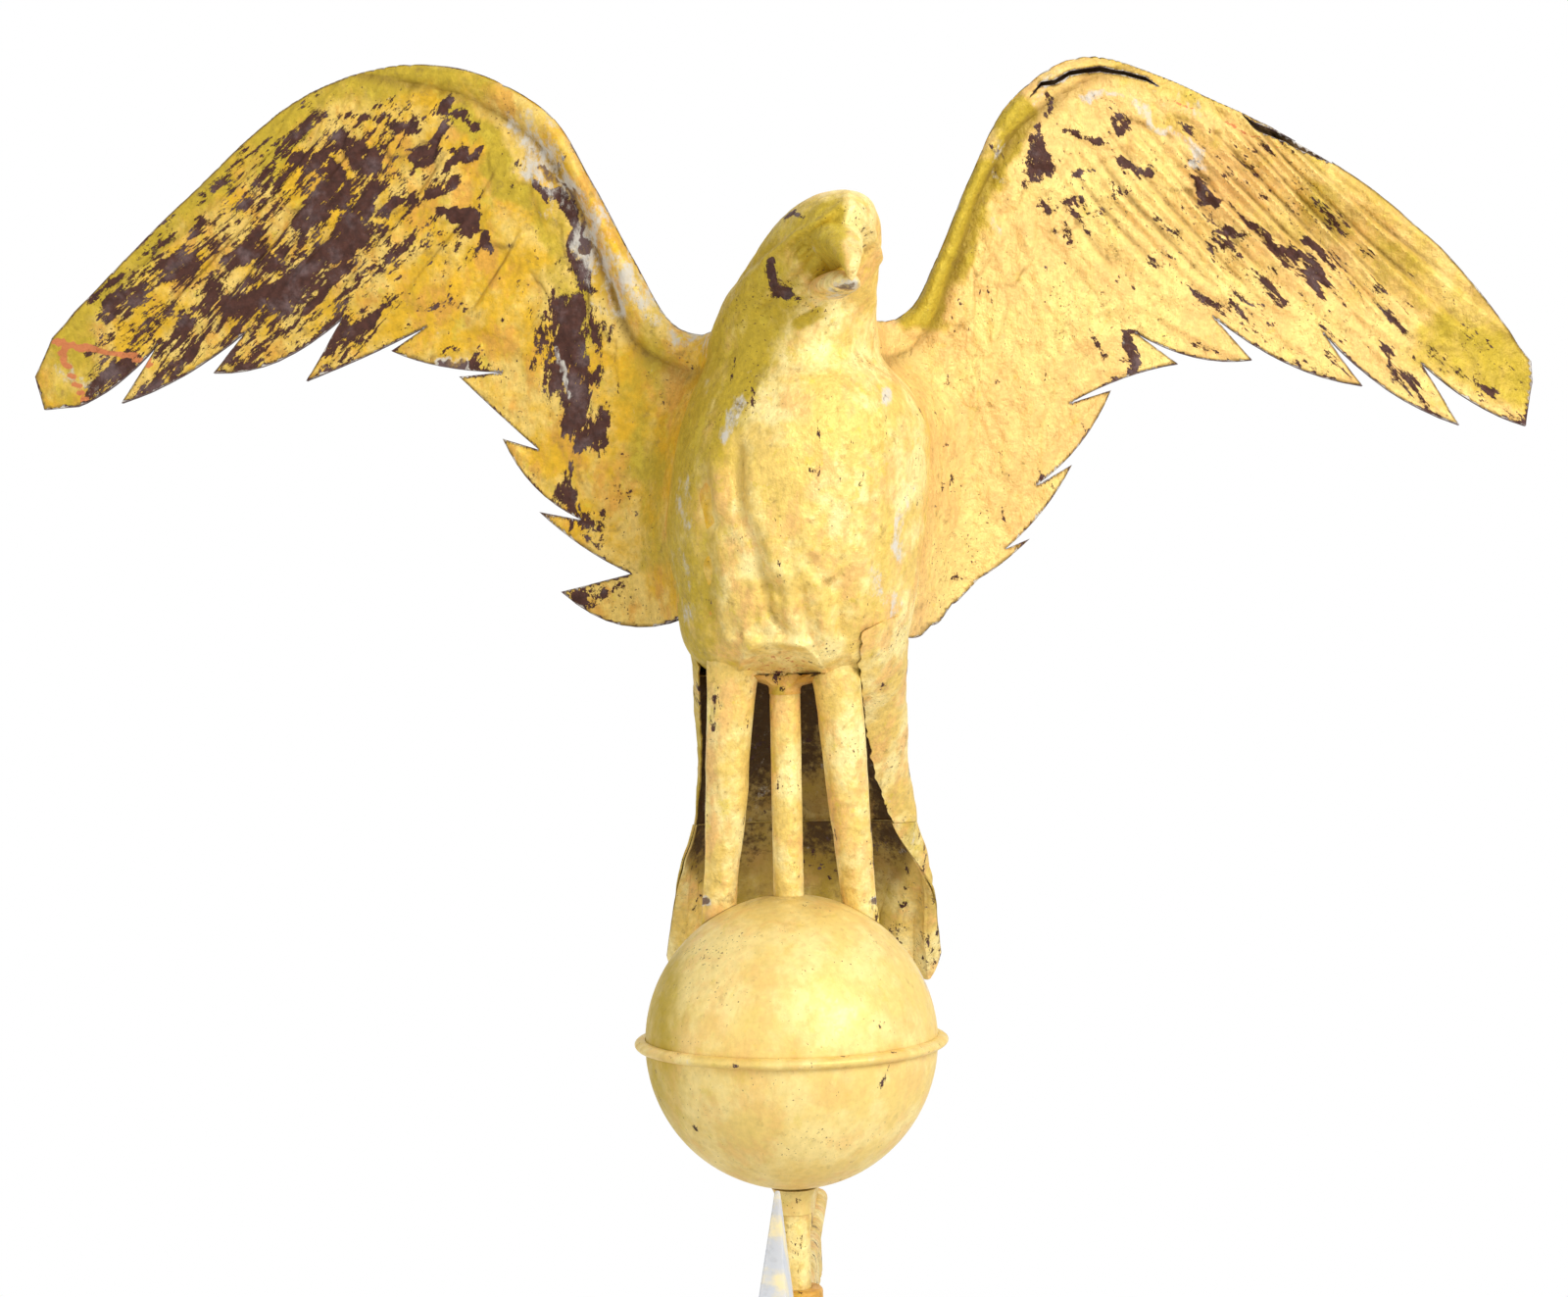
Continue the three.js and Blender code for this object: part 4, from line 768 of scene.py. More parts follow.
def walled(piece, thickness, inside_dirt_and_shade=1.0):
    """Gives a skin its wall, on the inner side, which is browner; the back and tail also darken it there as
    painted shade in the hollow.
    """
    count = len(piece.data.vertices)
    wall = piece.modifiers.new("wall", "SOLIDIFY")
    wall.thickness = thickness
    wall.offset = -1
    settle(piece)
    wear = piece.data.attributes.get("wear")
    if wear:
        values = np.empty(len(piece.data.vertices) * 4, np.float32)
        wear.data.foreach_get("color", values)
        values.reshape(-1, 4)[count:, 3] = inside_dirt_and_shade
        wear.data.foreach_set("color", values)
    return piece


def cut(piece, cutter, operation="DIFFERENCE"):
    """Cuts a piece by a closed mesh, or joins it to one."""
    other = shown("cutter", cutter)
    step = piece.modifiers.new("cut", "BOOLEAN")
    step.operation = operation
    step.solver = "MANIFOLD"
    step.object = other
    settle(piece)
    bpy.data.objects.remove(other)
    bpy.data.meshes.remove(cutter)


def softened(piece, width, segments=2):
    """Rounds a piece's sharp edges."""
    edge = piece.modifiers.new("edge", "BEVEL")
    edge.width = width
    edge.segments = segments
    edge.limit_method = "ANGLE"
    edge.angle_limit = math.radians(32)
    edge.use_clamp_overlap = True
    settle(piece)


def placed(piece, nodes, body, finish, sharp=38):
    """Puts a finished piece on its body in place of its CAD nodes."""
    bm = bmesh.new()
    bm.from_mesh(piece.data)
    loose = sum(not edge.is_manifold for edge in bm.edges)
    bm.free()
    if loose:
        raise RuntimeError(f"{piece.name} isn't closed: {loose} open edges")
    piece.data.shade_smooth()
    piece.data.set_sharp_from_angle(angle=math.radians(sharp))
    piece.data.materials.clear()
    piece.data.materials.append(finish_of(finish))
    if not piece.data.attributes.get("wear"):
        paint(piece.data)
    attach(piece, body)
    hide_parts(*nodes)


def prism(outline, low, high, axes=(0, 1, 2)):
    """A closed prism: an outline in the first two axes, from low to high along the third."""
    bm = bmesh.new()
    corners = []
    for a, b in outline:
        spot = [0.0, 0.0, 0.0]
        spot[axes[0]], spot[axes[1]], spot[axes[2]] = a, b, low
        corners.append(bm.verts.new(spot))
    face = bm.faces.new(corners)
    grown = bmesh.ops.extrude_face_region(bm, geom=[face])
    move = Vector((0, 0, 0))
    move[axes[2]] = high - low
    top = [g for g in grown["geom"] if isinstance(g, bmesh.types.BMVert)]
    bmesh.ops.translate(bm, vec=move, verts=top)
    bmesh.ops.recalc_face_normals(bm, faces=bm.faces)
    mesh = bpy.data.meshes.new("prism")
    bm.to_mesh(mesh)
    bm.free()
    return mesh


def turned_mesh(profile, steps=72, axis=(0, 0, 1), centre=(0, 0, 0)):
    """A turned solid: a profile of radius and height, spun about an axis through a centre."""
    bm = bmesh.new()
    on_axis = profile[0][0] == 0 and profile[-1][0] == 0
    ring = [bm.verts.new((r, 0, h)) for r, h in profile]
    pairs = list(zip(ring[:-1], ring[1:])) + ([] if on_axis else [(ring[-1], ring[0])])
    edges = [bm.edges.new(pair) for pair in pairs]
    bmesh.ops.spin(
        bm, geom=ring + edges, cent=(0, 0, 0), axis=(0, 0, 1), angle=math.tau, steps=steps, use_merge=True
    )
    bmesh.ops.remove_doubles(bm, verts=bm.verts, dist=1e-7)
    bmesh.ops.recalc_face_normals(bm, faces=bm.faces)
    if bm.calc_volume(signed=True) < 0:
        bmesh.ops.reverse_faces(bm, faces=bm.faces)
    turn = Vector((0, 0, 1)).rotation_difference(Vector(axis)).to_matrix().to_4x4()
    bmesh.ops.transform(bm, matrix=Matrix.Translation(centre) @ turn, verts=bm.verts)
    mesh = bpy.data.meshes.new("turned")
    bm.to_mesh(mesh)
    bm.free()
    return mesh


def dented(mesh, amount, size, seed=0):
    """Moves a mesh's points along their normals by smooth noise."""
    points = places_of(mesh)
    normals = np.empty(len(mesh.vertices) * 3, np.float32)
    mesh.vertices.foreach_get("normal", normals)
    shift = ripple(points + seed, size, 2)[:, None] * amount
    mesh.vertices.foreach_set("co", (points + shift * normals.reshape(-1, 3)).astype(np.float32).ravel())
    mesh.update()
    return mesh


def rounded(radius, low, high, edge, steps=4, bore=0):
    """A rod's profile, solid or bored, with its outer edges rounded."""
    turns = [math.pi / 2 * k / steps for k in range(steps + 1)]
    foot = [(radius - edge + edge * math.sin(t), low + edge - edge * math.cos(t)) for t in turns]
    top = [(radius - edge + edge * math.cos(t), high - edge + edge * math.sin(t)) for t in turns]
    return [(bore, low), *foot, *top, (bore, high)]


def bow(start, bend, end, count):
    """Points along a curve from a start to an end, drawn towards a bend."""
    t = np.linspace(0, 1, count)[:, None]
    spots = np.array(start) * (1 - t) ** 2 + np.array(bend) * 2 * t * (1 - t) + np.array(end) * t * t
    return [tuple(spot) for spot in spots.tolist()]


class Finish:
    """A node material being put together."""

    def __init__(self, name):
        self.material = bpy.data.materials.new(name)
        self.material.use_nodes = True
        self.tree = self.material.node_tree
        self.tree.nodes.clear()
        self.shader = self.node("ShaderNodeBsdfPrincipled")
        out = self.node("ShaderNodeOutputMaterial")
        self.tree.links.new(self.shader.outputs[0], out.inputs[0])
        self.material.diffuse_color = (0.7, 0.5, 0.2, 1)

    def node(self, kind, **values):
        made = self.tree.nodes.new(kind)
        for key, value in values.items():
            setattr(made, key, value)
        return made

    def put(self, socket, value):
        if isinstance(value, bpy.types.NodeSocket):
            self.tree.links.new(value, socket)
        elif socket.type == "RGBA" and len(value) == 3:
            socket.default_value = (*value, 1)
        else:
            socket.default_value = value

    def math(self, operation, a, b):
        made = self.node("ShaderNodeMath", operation=operation)
        self.put(made.inputs[0], a)
        self.put(made.inputs[1], b)
        return made.outputs[0]

    def plus(self, a, b, share=1.0):
        made = self.node("ShaderNodeMath", operation="MULTIPLY_ADD")
        for socket, given in zip(made.inputs, (b, share, a)):
            self.put(socket, given)
        return made.outputs[0]

    def sway(self, value, amount, middle=0.5):
        return self.plus(-middle * amount, value, amount)

    def mix(self, share, a, b):
        made = self.node("ShaderNodeMix", data_type="RGBA")
        self.put(made.inputs[0], share)
        self.put(made.inputs[6], a)
        self.put(made.inputs[7], b)
        return made.outputs[2]

    def shade(self, colour, level):
        made = self.node("ShaderNodeVectorMath", operation="SCALE")
        self.put(made.inputs[0], colour)
        self.put(made.inputs["Scale"], level)
        return made.outputs[0]

    def step(self, value, low, high, start=0.0, end=1.0):
        made = self.node("ShaderNodeMapRange", interpolation_type="SMOOTHSTEP")
        for socket, given in zip(made.inputs, (value, low, high, start, end)):
            self.put(socket, given)
        return made.outputs[0]

    def stretched(self, coordinates, scale=(1, 1, 1), move=(0, 0, 0)):
        made = self.node("ShaderNodeMapping")
        self.put(made.inputs[0], coordinates)
        self.put(made.inputs[1], move)
        self.put(made.inputs[3], scale)
        return made.outputs[0]

    def grain(self, coordinates, scale, detail=4.0, rough=0.55, distort=0.0):
        made = self.node("ShaderNodeTexNoise")
        self.put(made.inputs["Vector"], coordinates)
        self.put(made.inputs["Scale"], scale)
        self.put(made.inputs["Detail"], detail)
        self.put(made.inputs["Roughness"], rough)
        self.put(made.inputs["Distortion"], distort)
        return made.outputs[0]

    def bump(self, height, distance, below=None):
        made = self.node("ShaderNodeBump")
        made.inputs["Strength"].default_value = 1.0
        made.inputs["Distance"].default_value = distance
        self.put(made.inputs["Height"], height)
        if below is not None:
            self.put(made.inputs["Normal"], below)
        return made.outputs[0]


def gilded(name, tones, along_skin=False, gain=0.42, relief=0.0009, metallic=0.2, fine=1.0, mottle=1.0):
    """Worn gold leaf on copper: mottled gold, flakes to dark oxide, grey corrosion haze, grime, bare
    scratches, and the painted shade and light that the wear carries.
    """
    colours = bpy.context.scene.weathervane.finish
    green, dark, slate, copper = map(tuple, (colours.olive, colours.flake, colours.slate, colours.copper))
    gold, pale, warm = tones
    f = Finish(name)
    place = f.node("ShaderNodeTexCoord").outputs["Object"]
    wear = f.node("ShaderNodeAttribute", attribute_name="wear")
    parts = f.node("ShaderNodeSeparateColor")
    f.put(parts.inputs[0], wear.outputs["Color"])
    flake, olive, grey = parts.outputs
    dirt_and_shade = wear.outputs["Alpha"]
    scratch = f.node("ShaderNodeAttribute", attribute_name="scratch").outputs["Fac"]
    if along_skin:
        strip = f.stretched(f.node("ShaderNodeUVMap", uv_map="skin").outputs[0], (36, 8, 1))
    else:
        strip = f.stretched(place, (60, 60, 34))
    cloud = f.grain(place, 30, 5, 0.62)
    grit = f.grain(place, 260, 5, 0.68)

    # Gold of three thicknesses, the greenish size under it, which also carries painted shade, streaks and
    # tarnish
    base = f.mix(f.step(cloud, 0.42, 0.6, 0.5 - 0.5 * mottle, 0.5 + 0.5 * mottle), gold, pale)
    rubbed = f.grain(f.stretched(place, (1, 1, 0.6), (3, 1, 7)), 62, 6, 0.66)
    base = f.mix(f.step(rubbed, 0.48, 0.62, 0, 0.85 * mottle), base, warm)
    thin = f.sway(f.grain(f.stretched(place, (1, 1, 0.7), (8, 2, 5)), 44, 6, 0.68), 1.5 * mottle)
    base = f.mix(f.step(f.plus(olive, thin), 0.24, 0.76), base, green)
    streak = f.grain(f.stretched(place, (190, 190, 20), (1, 2, 3)), 1, 5, 0.66)
    base = f.mix(f.step(streak, 0.5, 0.72, 0, 0.34 * mottle), base, green)
    base = f.shade(base, f.step(grit, 0.3, 0.7, 1.0 - 0.16 * fine, 1.0 + 0.1 * fine))
    lemon = f.plus(f.grain(place, 88, 5, 0.7), olive, 0.08)
    base = f.mix(f.step(lemon, 0.6, 0.68, 0, 0.5 * mottle), base, LEMON)
    tarnish = f.plus(f.grain(f.stretched(place, move=(2, 9, 4)), 120, 6, 0.72), dirt_and_shade, 0.12)
    base = f.mix(f.step(tarnish, 0.57, 0.7, 0, 0.55 * fine), base, TARNISH)
    pits = f.plus(f.plus(f.grain(place, 620, 3, 0.6), f.sway(cloud, 0.5)), flake, 0.1)
    base = f.mix(f.step(pits, 0.7, 0.74, 0, 0.85), base, dark)
    # Dirt and painted shade from the wear's alpha: soil, then browned copper where deepest
    grime_and_shade = f.plus(dirt_and_shade, f.sway(grit, 0.7))
    base = f.mix(f.step(grime_and_shade, 0.12, 0.7, 0, 0.72), base, SOIL_AND_SHADE)
    base = f.mix(f.step(grime_and_shade, 0.7, 0.95), base, tuple(colours.brown))

    # Flakes with torn edges, down to the dark oxide
    torn_edge = f.sway(f.grain(f.stretched(strip, (3.4, 4.2, 1)), 1, 6, 0.75), 0.9)
    edge = f.plus(f.sway(f.grain(place, 230, 6, 0.75), 0.5), torn_edge)
    cover = f.plus(f.plus(edge, f.grain(strip, 1, 8, 0.7, 0.4), 1.5), flake, gain)
    gone = f.step(cover, 1.05, 1.064)
    patchy = f.grain(f.stretched(place, move=(5, 5, 5)), 60, 6, 0.65)
    oxide = f.mix(f.step(patchy, 0.48, 0.7), dark, slate)
    base = f.mix(gone, base, f.shade(oxide, f.step(grit, 0.32, 0.68, 0.72, 1.3)))

    # Grey bloom, also painted light on the right wing's arm, and scratches to the copper
    haze = f.plus(f.grain(f.stretched(place, (1, 1, 0.6)), 110, 7, 0.74), grey, 0.36)
    bloom_and_light = f.step(haze, 0.7, 0.88, 0, 0.9)
    darker = f.plus(f.grain(place, 90, 5, 0.65), f.sway(grey, 1.2, 0.85))
    base = f.mix(bloom_and_light, base, f.mix(f.step(darker, 0.48, 0.6), tuple(colours.bloom_and_light), slate))
    bare = f.step(f.plus(scratch, f.sway(grit, 0.9)), 0.5, 0.62)
    f.put(f.shader.inputs["Base Color"], f.mix(bare, base, copper))

    kept = f.plus(1.0, f.math("MAXIMUM", gone, bloom_and_light), -1.0)
    bright = f.plus(f.math("MULTIPLY", kept, metallic), bare, 0.4)
    f.put(f.shader.inputs["Metallic"], f.math("MINIMUM", bright, 1.0))
    shine = f.step(f.grain(place, 150, 5, 0.65), 0.32, 0.68, 0.4, 0.6)
    f.put(f.shader.inputs["Roughness"], f.plus(shine, f.plus(0.06, kept, -0.06)))
    f.shader.inputs["Specular IOR Level"].default_value = 0.22
    broad_bump = f.bump(f.grain(place, 85, 5, 0.6), relief * 2.2)
    lumps = f.bump(f.grain(f.stretched(place, (1, 1, 0.8), (4, 4, 1)), 240, 5, 0.62), relief, broad_bump)
    sand = f.bump(f.grain(place, 900, 4, 0.65), relief * 0.16, lumps)
    f.put(f.shader.inputs["Normal"], f.bump(f.math("MULTIPLY", gone, -1.0), 0.00018, sand))
    return f.material


def plain_metal(name, tone, stain, metallic, rough, scale=60.0):
    """A cast or turned metal with stains, wear and a fine grain."""
    f = Finish(name)
    place = f.node("ShaderNodeTexCoord").outputs["Object"]
    cloud = f.grain(place, scale, 6, 0.65)
    base = f.mix(f.step(cloud, 0.42, 0.66, 0, 0.75), tone, stain)
    streak = f.grain(f.stretched(place, (240, 240, 20)), 1, 3)
    base = f.mix(f.step(streak, 0.5, 0.8, 0, 0.35), base, tuple(0.6 * c for c in tone))
    f.put(f.shader.inputs["Base Color"], base)
    f.put(f.shader.inputs["Metallic"], f.step(cloud, 0.4, 0.7, metallic, metallic * 0.6))
    f.put(f.shader.inputs["Roughness"], f.step(f.grain(place, 140, 4), 0.3, 0.7, rough - 0.08, rough + 0.1))
    coarse = f.bump(f.grain(place, 130, 4, 0.6), 0.0003)
    f.put(f.shader.inputs["Normal"], f.bump(f.grain(place, 900, 3), 0.00006, coarse))
    return f.material


def finish_of(kind):
    """The named finish, made once."""
    found = bpy.data.materials.get(kind)
    if found:
        return found
    c = bpy.context.scene.weathervane.finish
    gold, pale, warm = tuple(c.gold), tuple(c.pale), tuple(c.warm)
    wing_gold, wing_pale_lit, wing_warm = tuple(c.wing_gold), tuple(c.wing_pale_lit), tuple(c.wing_warm)
    makers = {
        "gilt_body": lambda: gilded(kind, (gold, pale, warm)),
        "gilt_ball": lambda: gilded(kind, (gold, pale, warm), relief=0.00018, fine=0.45, mottle=0.5),
        # The wings differ partly as painted light and shade: paler on the eagle's left wing, on the key
        # lamp's side
        "gilt_wing_right_shaded": lambda: gilded(kind, (wing_gold, gold, wing_warm), True, 0.56),
        "gilt_wing_left_lit": lambda: gilded(kind, (warm, wing_pale_lit, warm), True, 0.46, 0.0013, mottle=0.6),
        "gilt_wing_back": lambda: gilded(kind, (wing_gold, gold, wing_warm), True),
        "browned": lambda: gilded(kind, (wing_warm, warm, tuple(c.olive))),
        "cast_zinc": lambda: plain_metal(kind, tuple(c.zinc), tuple(c.pale), 0.35, 0.45, 40.0),
        "dull_steel": lambda: plain_metal(kind, tuple(c.steel), tuple(c.brown), 0.75, 0.42),
        "screw_steel": lambda: plain_metal(kind, tuple(c.steel), tuple(c.slate), 0.8, 0.36),
    }
    return makers[kind]()


def breast_rows(b):
    """The breast's table in metres: height, middle, half width and depth."""
    return [
        (b.torso_foot + b.torso_rise * h, b.chest_half * m, b.chest_half * w, b.chest_front * d)
        for h, m, w, d in BREAST_SHARES
    ]


def back_rows(b):
    """The back's table in metres: height, middle, half width, set back and depth."""
    rise = b.torso_foot + b.torso_rise - b.rump_height
    return [
        (
            b.rump_height + rise * h,
            b.chest_half * m,
            b.chest_half * w,
            (b.tail_reach - b.seam_place) * s,
            b.back_depth * d,
        )
        for h, m, w, s, d in BACK_SHARES
    ]


def head_rows(b):
    """The head's table in metres, by a key that runs evenly over the crown: shift, half, reach, depths."""
    return [
        (
            1 - math.sqrt(1 - h),
            b.head_shift * s,
            b.chest_half * w,
            b.head_reach * r,
            b.chest_front * front,
            b.back_depth * rear,
        )
        for h, s, w, r, front, rear in HEAD_SHARES
    ]


def breast_place(b, turn, height, grow=0.0):
    """Points of the breast at angles from straight ahead and heights in metres."""
    middle, half, depth = cubic(breast_rows(b), height)
    x = middle + (half + grow) * np.sin(turn)
    return np.stack([x, b.seam_place - (depth + grow) * np.cos(turn), height + 0 * turn], 1)


def back_place(b, turn, height, grow=0.0):
    """Points of the back at angles from straight behind and heights in metres."""
    middle, half, back, depth = cubic(back_rows(b), height)
    x = middle + (half + grow) * np.sin(turn)
    y = b.seam_place + np.maximum(back, 0) + (depth + grow) * np.cos(turn)
    return np.stack([x, y, height + 0 * turn], 1)


def head_place(b, turn, key, grow=0.0):
    """Points of the neck and head at angles from the way the face looks and at keys from 0 to 1."""
    shift, half, reach, front, rear = cubic(head_rows(b), key)
    depth = np.where(np.cos(turn) > 0, front, rear)
    lift = np.maximum(1 - (1 - key) ** 2, 0)
    aside = (np.maximum(half, 0) + grow) * np.sin(turn)
    ahead = (np.maximum(depth, 0) + grow) * np.cos(turn)
    face = b.head_turn * ease(lift, 0.0, 0.5)
    x = aside * np.cos(face) + ahead * np.sin(face) + shift
    y = aside * np.sin(face) - ahead * np.cos(face) + b.seam_place - reach
    return np.stack([x, y, b.torso_foot + b.torso_rise + b.head_rise * lift], 1)


def body_side(b, x, z, way):
    """How far back the body lies at each place, on its front, where way is -1, or its back, where it is 1."""
    torso = b.torso_foot + b.torso_rise
    rows = breast_rows(b) if way < 0 else back_rows(b)
    middle, half, *_, depth = cubic(rows, np.clip(z, b.torso_foot, torso))
    q = (x - middle) / np.maximum(half, 1e-4)
    over = np.maximum(np.abs(x - middle) - half, 0)
    bulge = depth * np.sqrt(np.maximum(1 - q * q, 0)) - 2.4 * over - 1.2 * np.maximum(z - torso, 0)
    return b.seam_place + way * bulge


def scales(across, down):
    """Overlapping rounded body feathers: 0 where one tucks under, 1 at its free edge."""
    best = np.zeros(across.shape)
    for odd in (0, 1):
        beside = (across + odd / 2) % 1 - 0.5
        fall = ((down - odd) / 2 + 0.5 * (2 * beside) ** 2 * 0.5) % 1
        shaft = 0.15 * hill(beside, 0.06)
        best = np.maximum(best, fall**1.3 * (1 - 0.35 * (2 * beside) ** 2) + shaft * fall)
    return best


def shade_side(points):
    """How olive the body and head are: the greenish size, and painted shade that grows towards the eagle's
    right, away from the key lamp.
    """
    x, z = points[:, 0], points[:, 2]
    limit = -0.036 + 0.05 * ease(z, 0.52, 0.66)
    wave = 0.008 * ripple(points, 0.04, 3)
    return 0.12 + 0.62 * (1 - ease(x + wave, limit - 0.014, limit + 0.022))


def arch_height(x):
    """Height of the hem's arch over the belly, at places across."""
    return ARCH_HEIGHT - ARCH_DROP * (np.abs(x + MM) / ARCH_HALF) ** 3


def recess(x, height):
    """How far the sheet under the hem's arch lies behind the breast's round."""
    arch = arch_height(x)
    under = 1 - ease(height, arch - 0.0035, arch + 0.0005)
    return -ARCH_RECESS * under * (0.45 + 0.55 * ease(arch - height, 0, 0.01))


def build_breast(b):
    """The front moulding of the body."""
    kept = {}

    def place(across, down):
        turn = (across - 0.5) * math.pi
        height = b.torso_foot + b.torso_rise * down
        base = breast_place(b, turn, height)
        crease = folded(base[:, 0], base[:, 2], BREAST_FOLDS)
        low = 1 - ease(height, 0.47, 0.56)
        drape = ripple(base, 0.016, 2, (0.55, 0.8, 1.8)) * 0.0015 * low
        wavy = height + 0.0012 * ripple(base + 3, 0.008, 2)
        sunk = recess(base[:, 0], wavy)
        lumps = ripple(base + 5, 0.03, 3) * 0.0009
        fade = np.clip(np.cos(turn), 0, 1) ** 0.5 * np.clip(14 * (1 - down), 0, 1)
        lip = 0.002 * hill(wavy - arch_height(base[:, 0]) - 0.0024, 0.0022) * (height < 0.4755)
        # Painted shade and dirt in the creases, and painted shade in the recess under the hem's arch
        kept["dirt_and_shade"] = np.clip(np.clip(-crease * fade / 0.003, 0, 1) * 0.36 - 24 * sunk, 0, 0.6)
        grown = (crease + drape + lumps) * fade + (sunk + lip) * (np.cos(turn) > 0.4)
        return breast_place(b, turn, height, grown)

    mesh = skin("breast", 200, 180, place, (0, b.seam_place, 0.54), kept=kept)
    points = places_of(mesh)
    x, z = points[:, 0], points[:, 2]
    paint(
        mesh,
        flake=0.05,
        olive=shade_side(points),
        grey=0.12 + 0.88 * worn(x, z, BODY_GREYS),
        dirt_and_shade=dirt_and_shade_of(mesh),
        scratch=0.46 * (1 - ease(z, arch_height(x) - 0.003, arch_height(x))),
    )
    piece = walled(shown("breast", mesh), b.sheet)
    placed(piece, ["breast_shell"], "vane", "gilt_body")


def build_back(b):
    """The rear moulding of the body, which wraps round the hips."""
    neck = b.torso_foot + b.torso_rise

    def place(across, down):
        height = b.rump_height + (neck - b.rump_height) * down
        hip = 1 - ease(down, 0.42, 0.5)
        taper = 1 - (1 - np.clip(down / 0.36, 0, 1)) ** 2
        reach = np.where(across < 0.5, *HIP_TURNS) + np.where(across < 0.5, *HIP_RISES) * taper
        wrap = np.radians(reach) * hip
        ragged = 0.05 * np.array([noise.noise((h * 260, 3.1, 0)) for h in height]) * hip
        turn = (2 * across - 1) * (math.pi / 2 + wrap + ragged * np.abs(2 * across - 1))
        fade = np.cos(np.clip(turn, -1.5, 1.5)) ** 0.6 * np.clip(np.minimum(9 * down, 12 * (1 - down)), 0, 1)
        feather = scales(across * 13, down * 22) - 0.5
        base = back_place(b, -turn, height)
        dents = ripple(base, 0.035, 3) * 0.0012 * np.clip(8 * (1 - down), 0, 1)
        return back_place(b, -turn, height, 0.0022 * fade * feather + dents)

    mesh = skin("back", 190, 190, place, (0, b.seam_place, 0.5))
    points = places_of(mesh)
    front = ease(points[:, 0], 0.03, 0.05) * (1 - ease(points[:, 1], 0.05, 0.09))
    # Hips paler at the front; painted shade makes the back more olive towards the eagle's right
    paint(
        mesh,
        flake=0.2 - 0.12 * front,
        olive=0.35 * (1 - front) + 0.3 * ease(-points[:, 0], 0.02, 0.06),
        grey=0.3,
        dirt_and_shade=0.06 * (1 - front),
    )
    # Inside the back: browned copper, with painted shade darker towards the top of the hollow and at the
    # sides
    inside_brown_and_shade = 0.76 + 0.2 * ease(points[:, 2] - b.rump_height, 0.008, 0.058) + 0.16 * ripple(points, 0.03, 4)
    inside_brown_and_shade += 0.3 * ease(np.abs(points[:, 0]), 0.036, 0.052)
    piece = walled(shown("back", mesh), b.sheet, np.clip(inside_brown_and_shade, 0, 0.98))
    placed(piece, ["back_shell"], "vane", "gilt_body")


def build_belly(b, t):
    """The belly plate: dished round the tube, with a lapped collar on it."""
    bore = t.tube_radius + FIT

    def place(across, down):
        turn = across * math.tau
        front = np.abs(((turn + math.pi) % math.tau) - math.pi) < math.pi / 2
        height = np.full(turn.shape, b.torso_foot + 0.001)
        rim = np.where(
            front[:, None],
            breast_place(b, turn, height, recess(breast_place(b, turn, height)[:, 0], height) - PLATE_INSET),
            back_place(b, math.pi - turn, height, -PLATE_INSET),
        )
        hole = np.stack([bore * np.sin(turn), -bore * np.cos(turn), height], 1)
        share = ease(down, 0.12, 1.0)[:, None]
        points = hole * (1 - share) + rim * share
        lip = 1 - ease(down, 0.0, 0.1)
        dish = -0.006 * (1 - ease(down, 0.1, 0.75)) - 0.004 * lip
        ring = 0.0012 * hill(down - 0.13, 0.04)
        points[:, 2] = b.torso_foot - 0.0006 + dish - ring + 0.0008 * ripple(points, 0.02, 2)
        return points

    mesh = skin("belly", 120, 40, place, (0, 0, 1), True)
    paint(mesh, flake=0.05, olive=0.1, dirt_and_shade=0.35)
    piece = walled(shown("belly", mesh), b.sheet)
    placed(piece, ["belly_plate"], "vane", "browned")


def build_brace(b, t):
    """The plate inside the chest that holds the tube's top."""
    turns = np.linspace(-math.pi / 2, math.pi / 2, 40)
    outline = [tuple(p[:2]) for p in breast_place(b, turns, np.full(turns.shape, BRACE_HEIGHT), -BRACE_INSET)]
    piece = shown("brace", prism(outline, BRACE_HEIGHT, BRACE_HEIGHT + BRACE_THICK))
    hole = rounded(t.tube_radius + FIT, BRACE_HEIGHT - CUT_SPARE, BRACE_HEIGHT + CUT_SPARE, CUT_EDGE)
    cut(piece, turned_mesh(hole, 48))
    placed(piece, ["chest_brace"], "vane", "browned")


def face_spot(b, height):
    """A point on the middle of the face, at a height in metres."""
    lift = (height - b.torso_foot - b.torso_rise) / b.head_rise
    return head_place(b, np.zeros(1), np.array([1 - math.sqrt(1 - lift)]))[0]


def beak_shade(x):
    """Painted shade on the beak and the face round its root: olive on the shaded side of the ridge."""
    return 0.78 - 0.62 * ease(x, 0.035, 0.043)


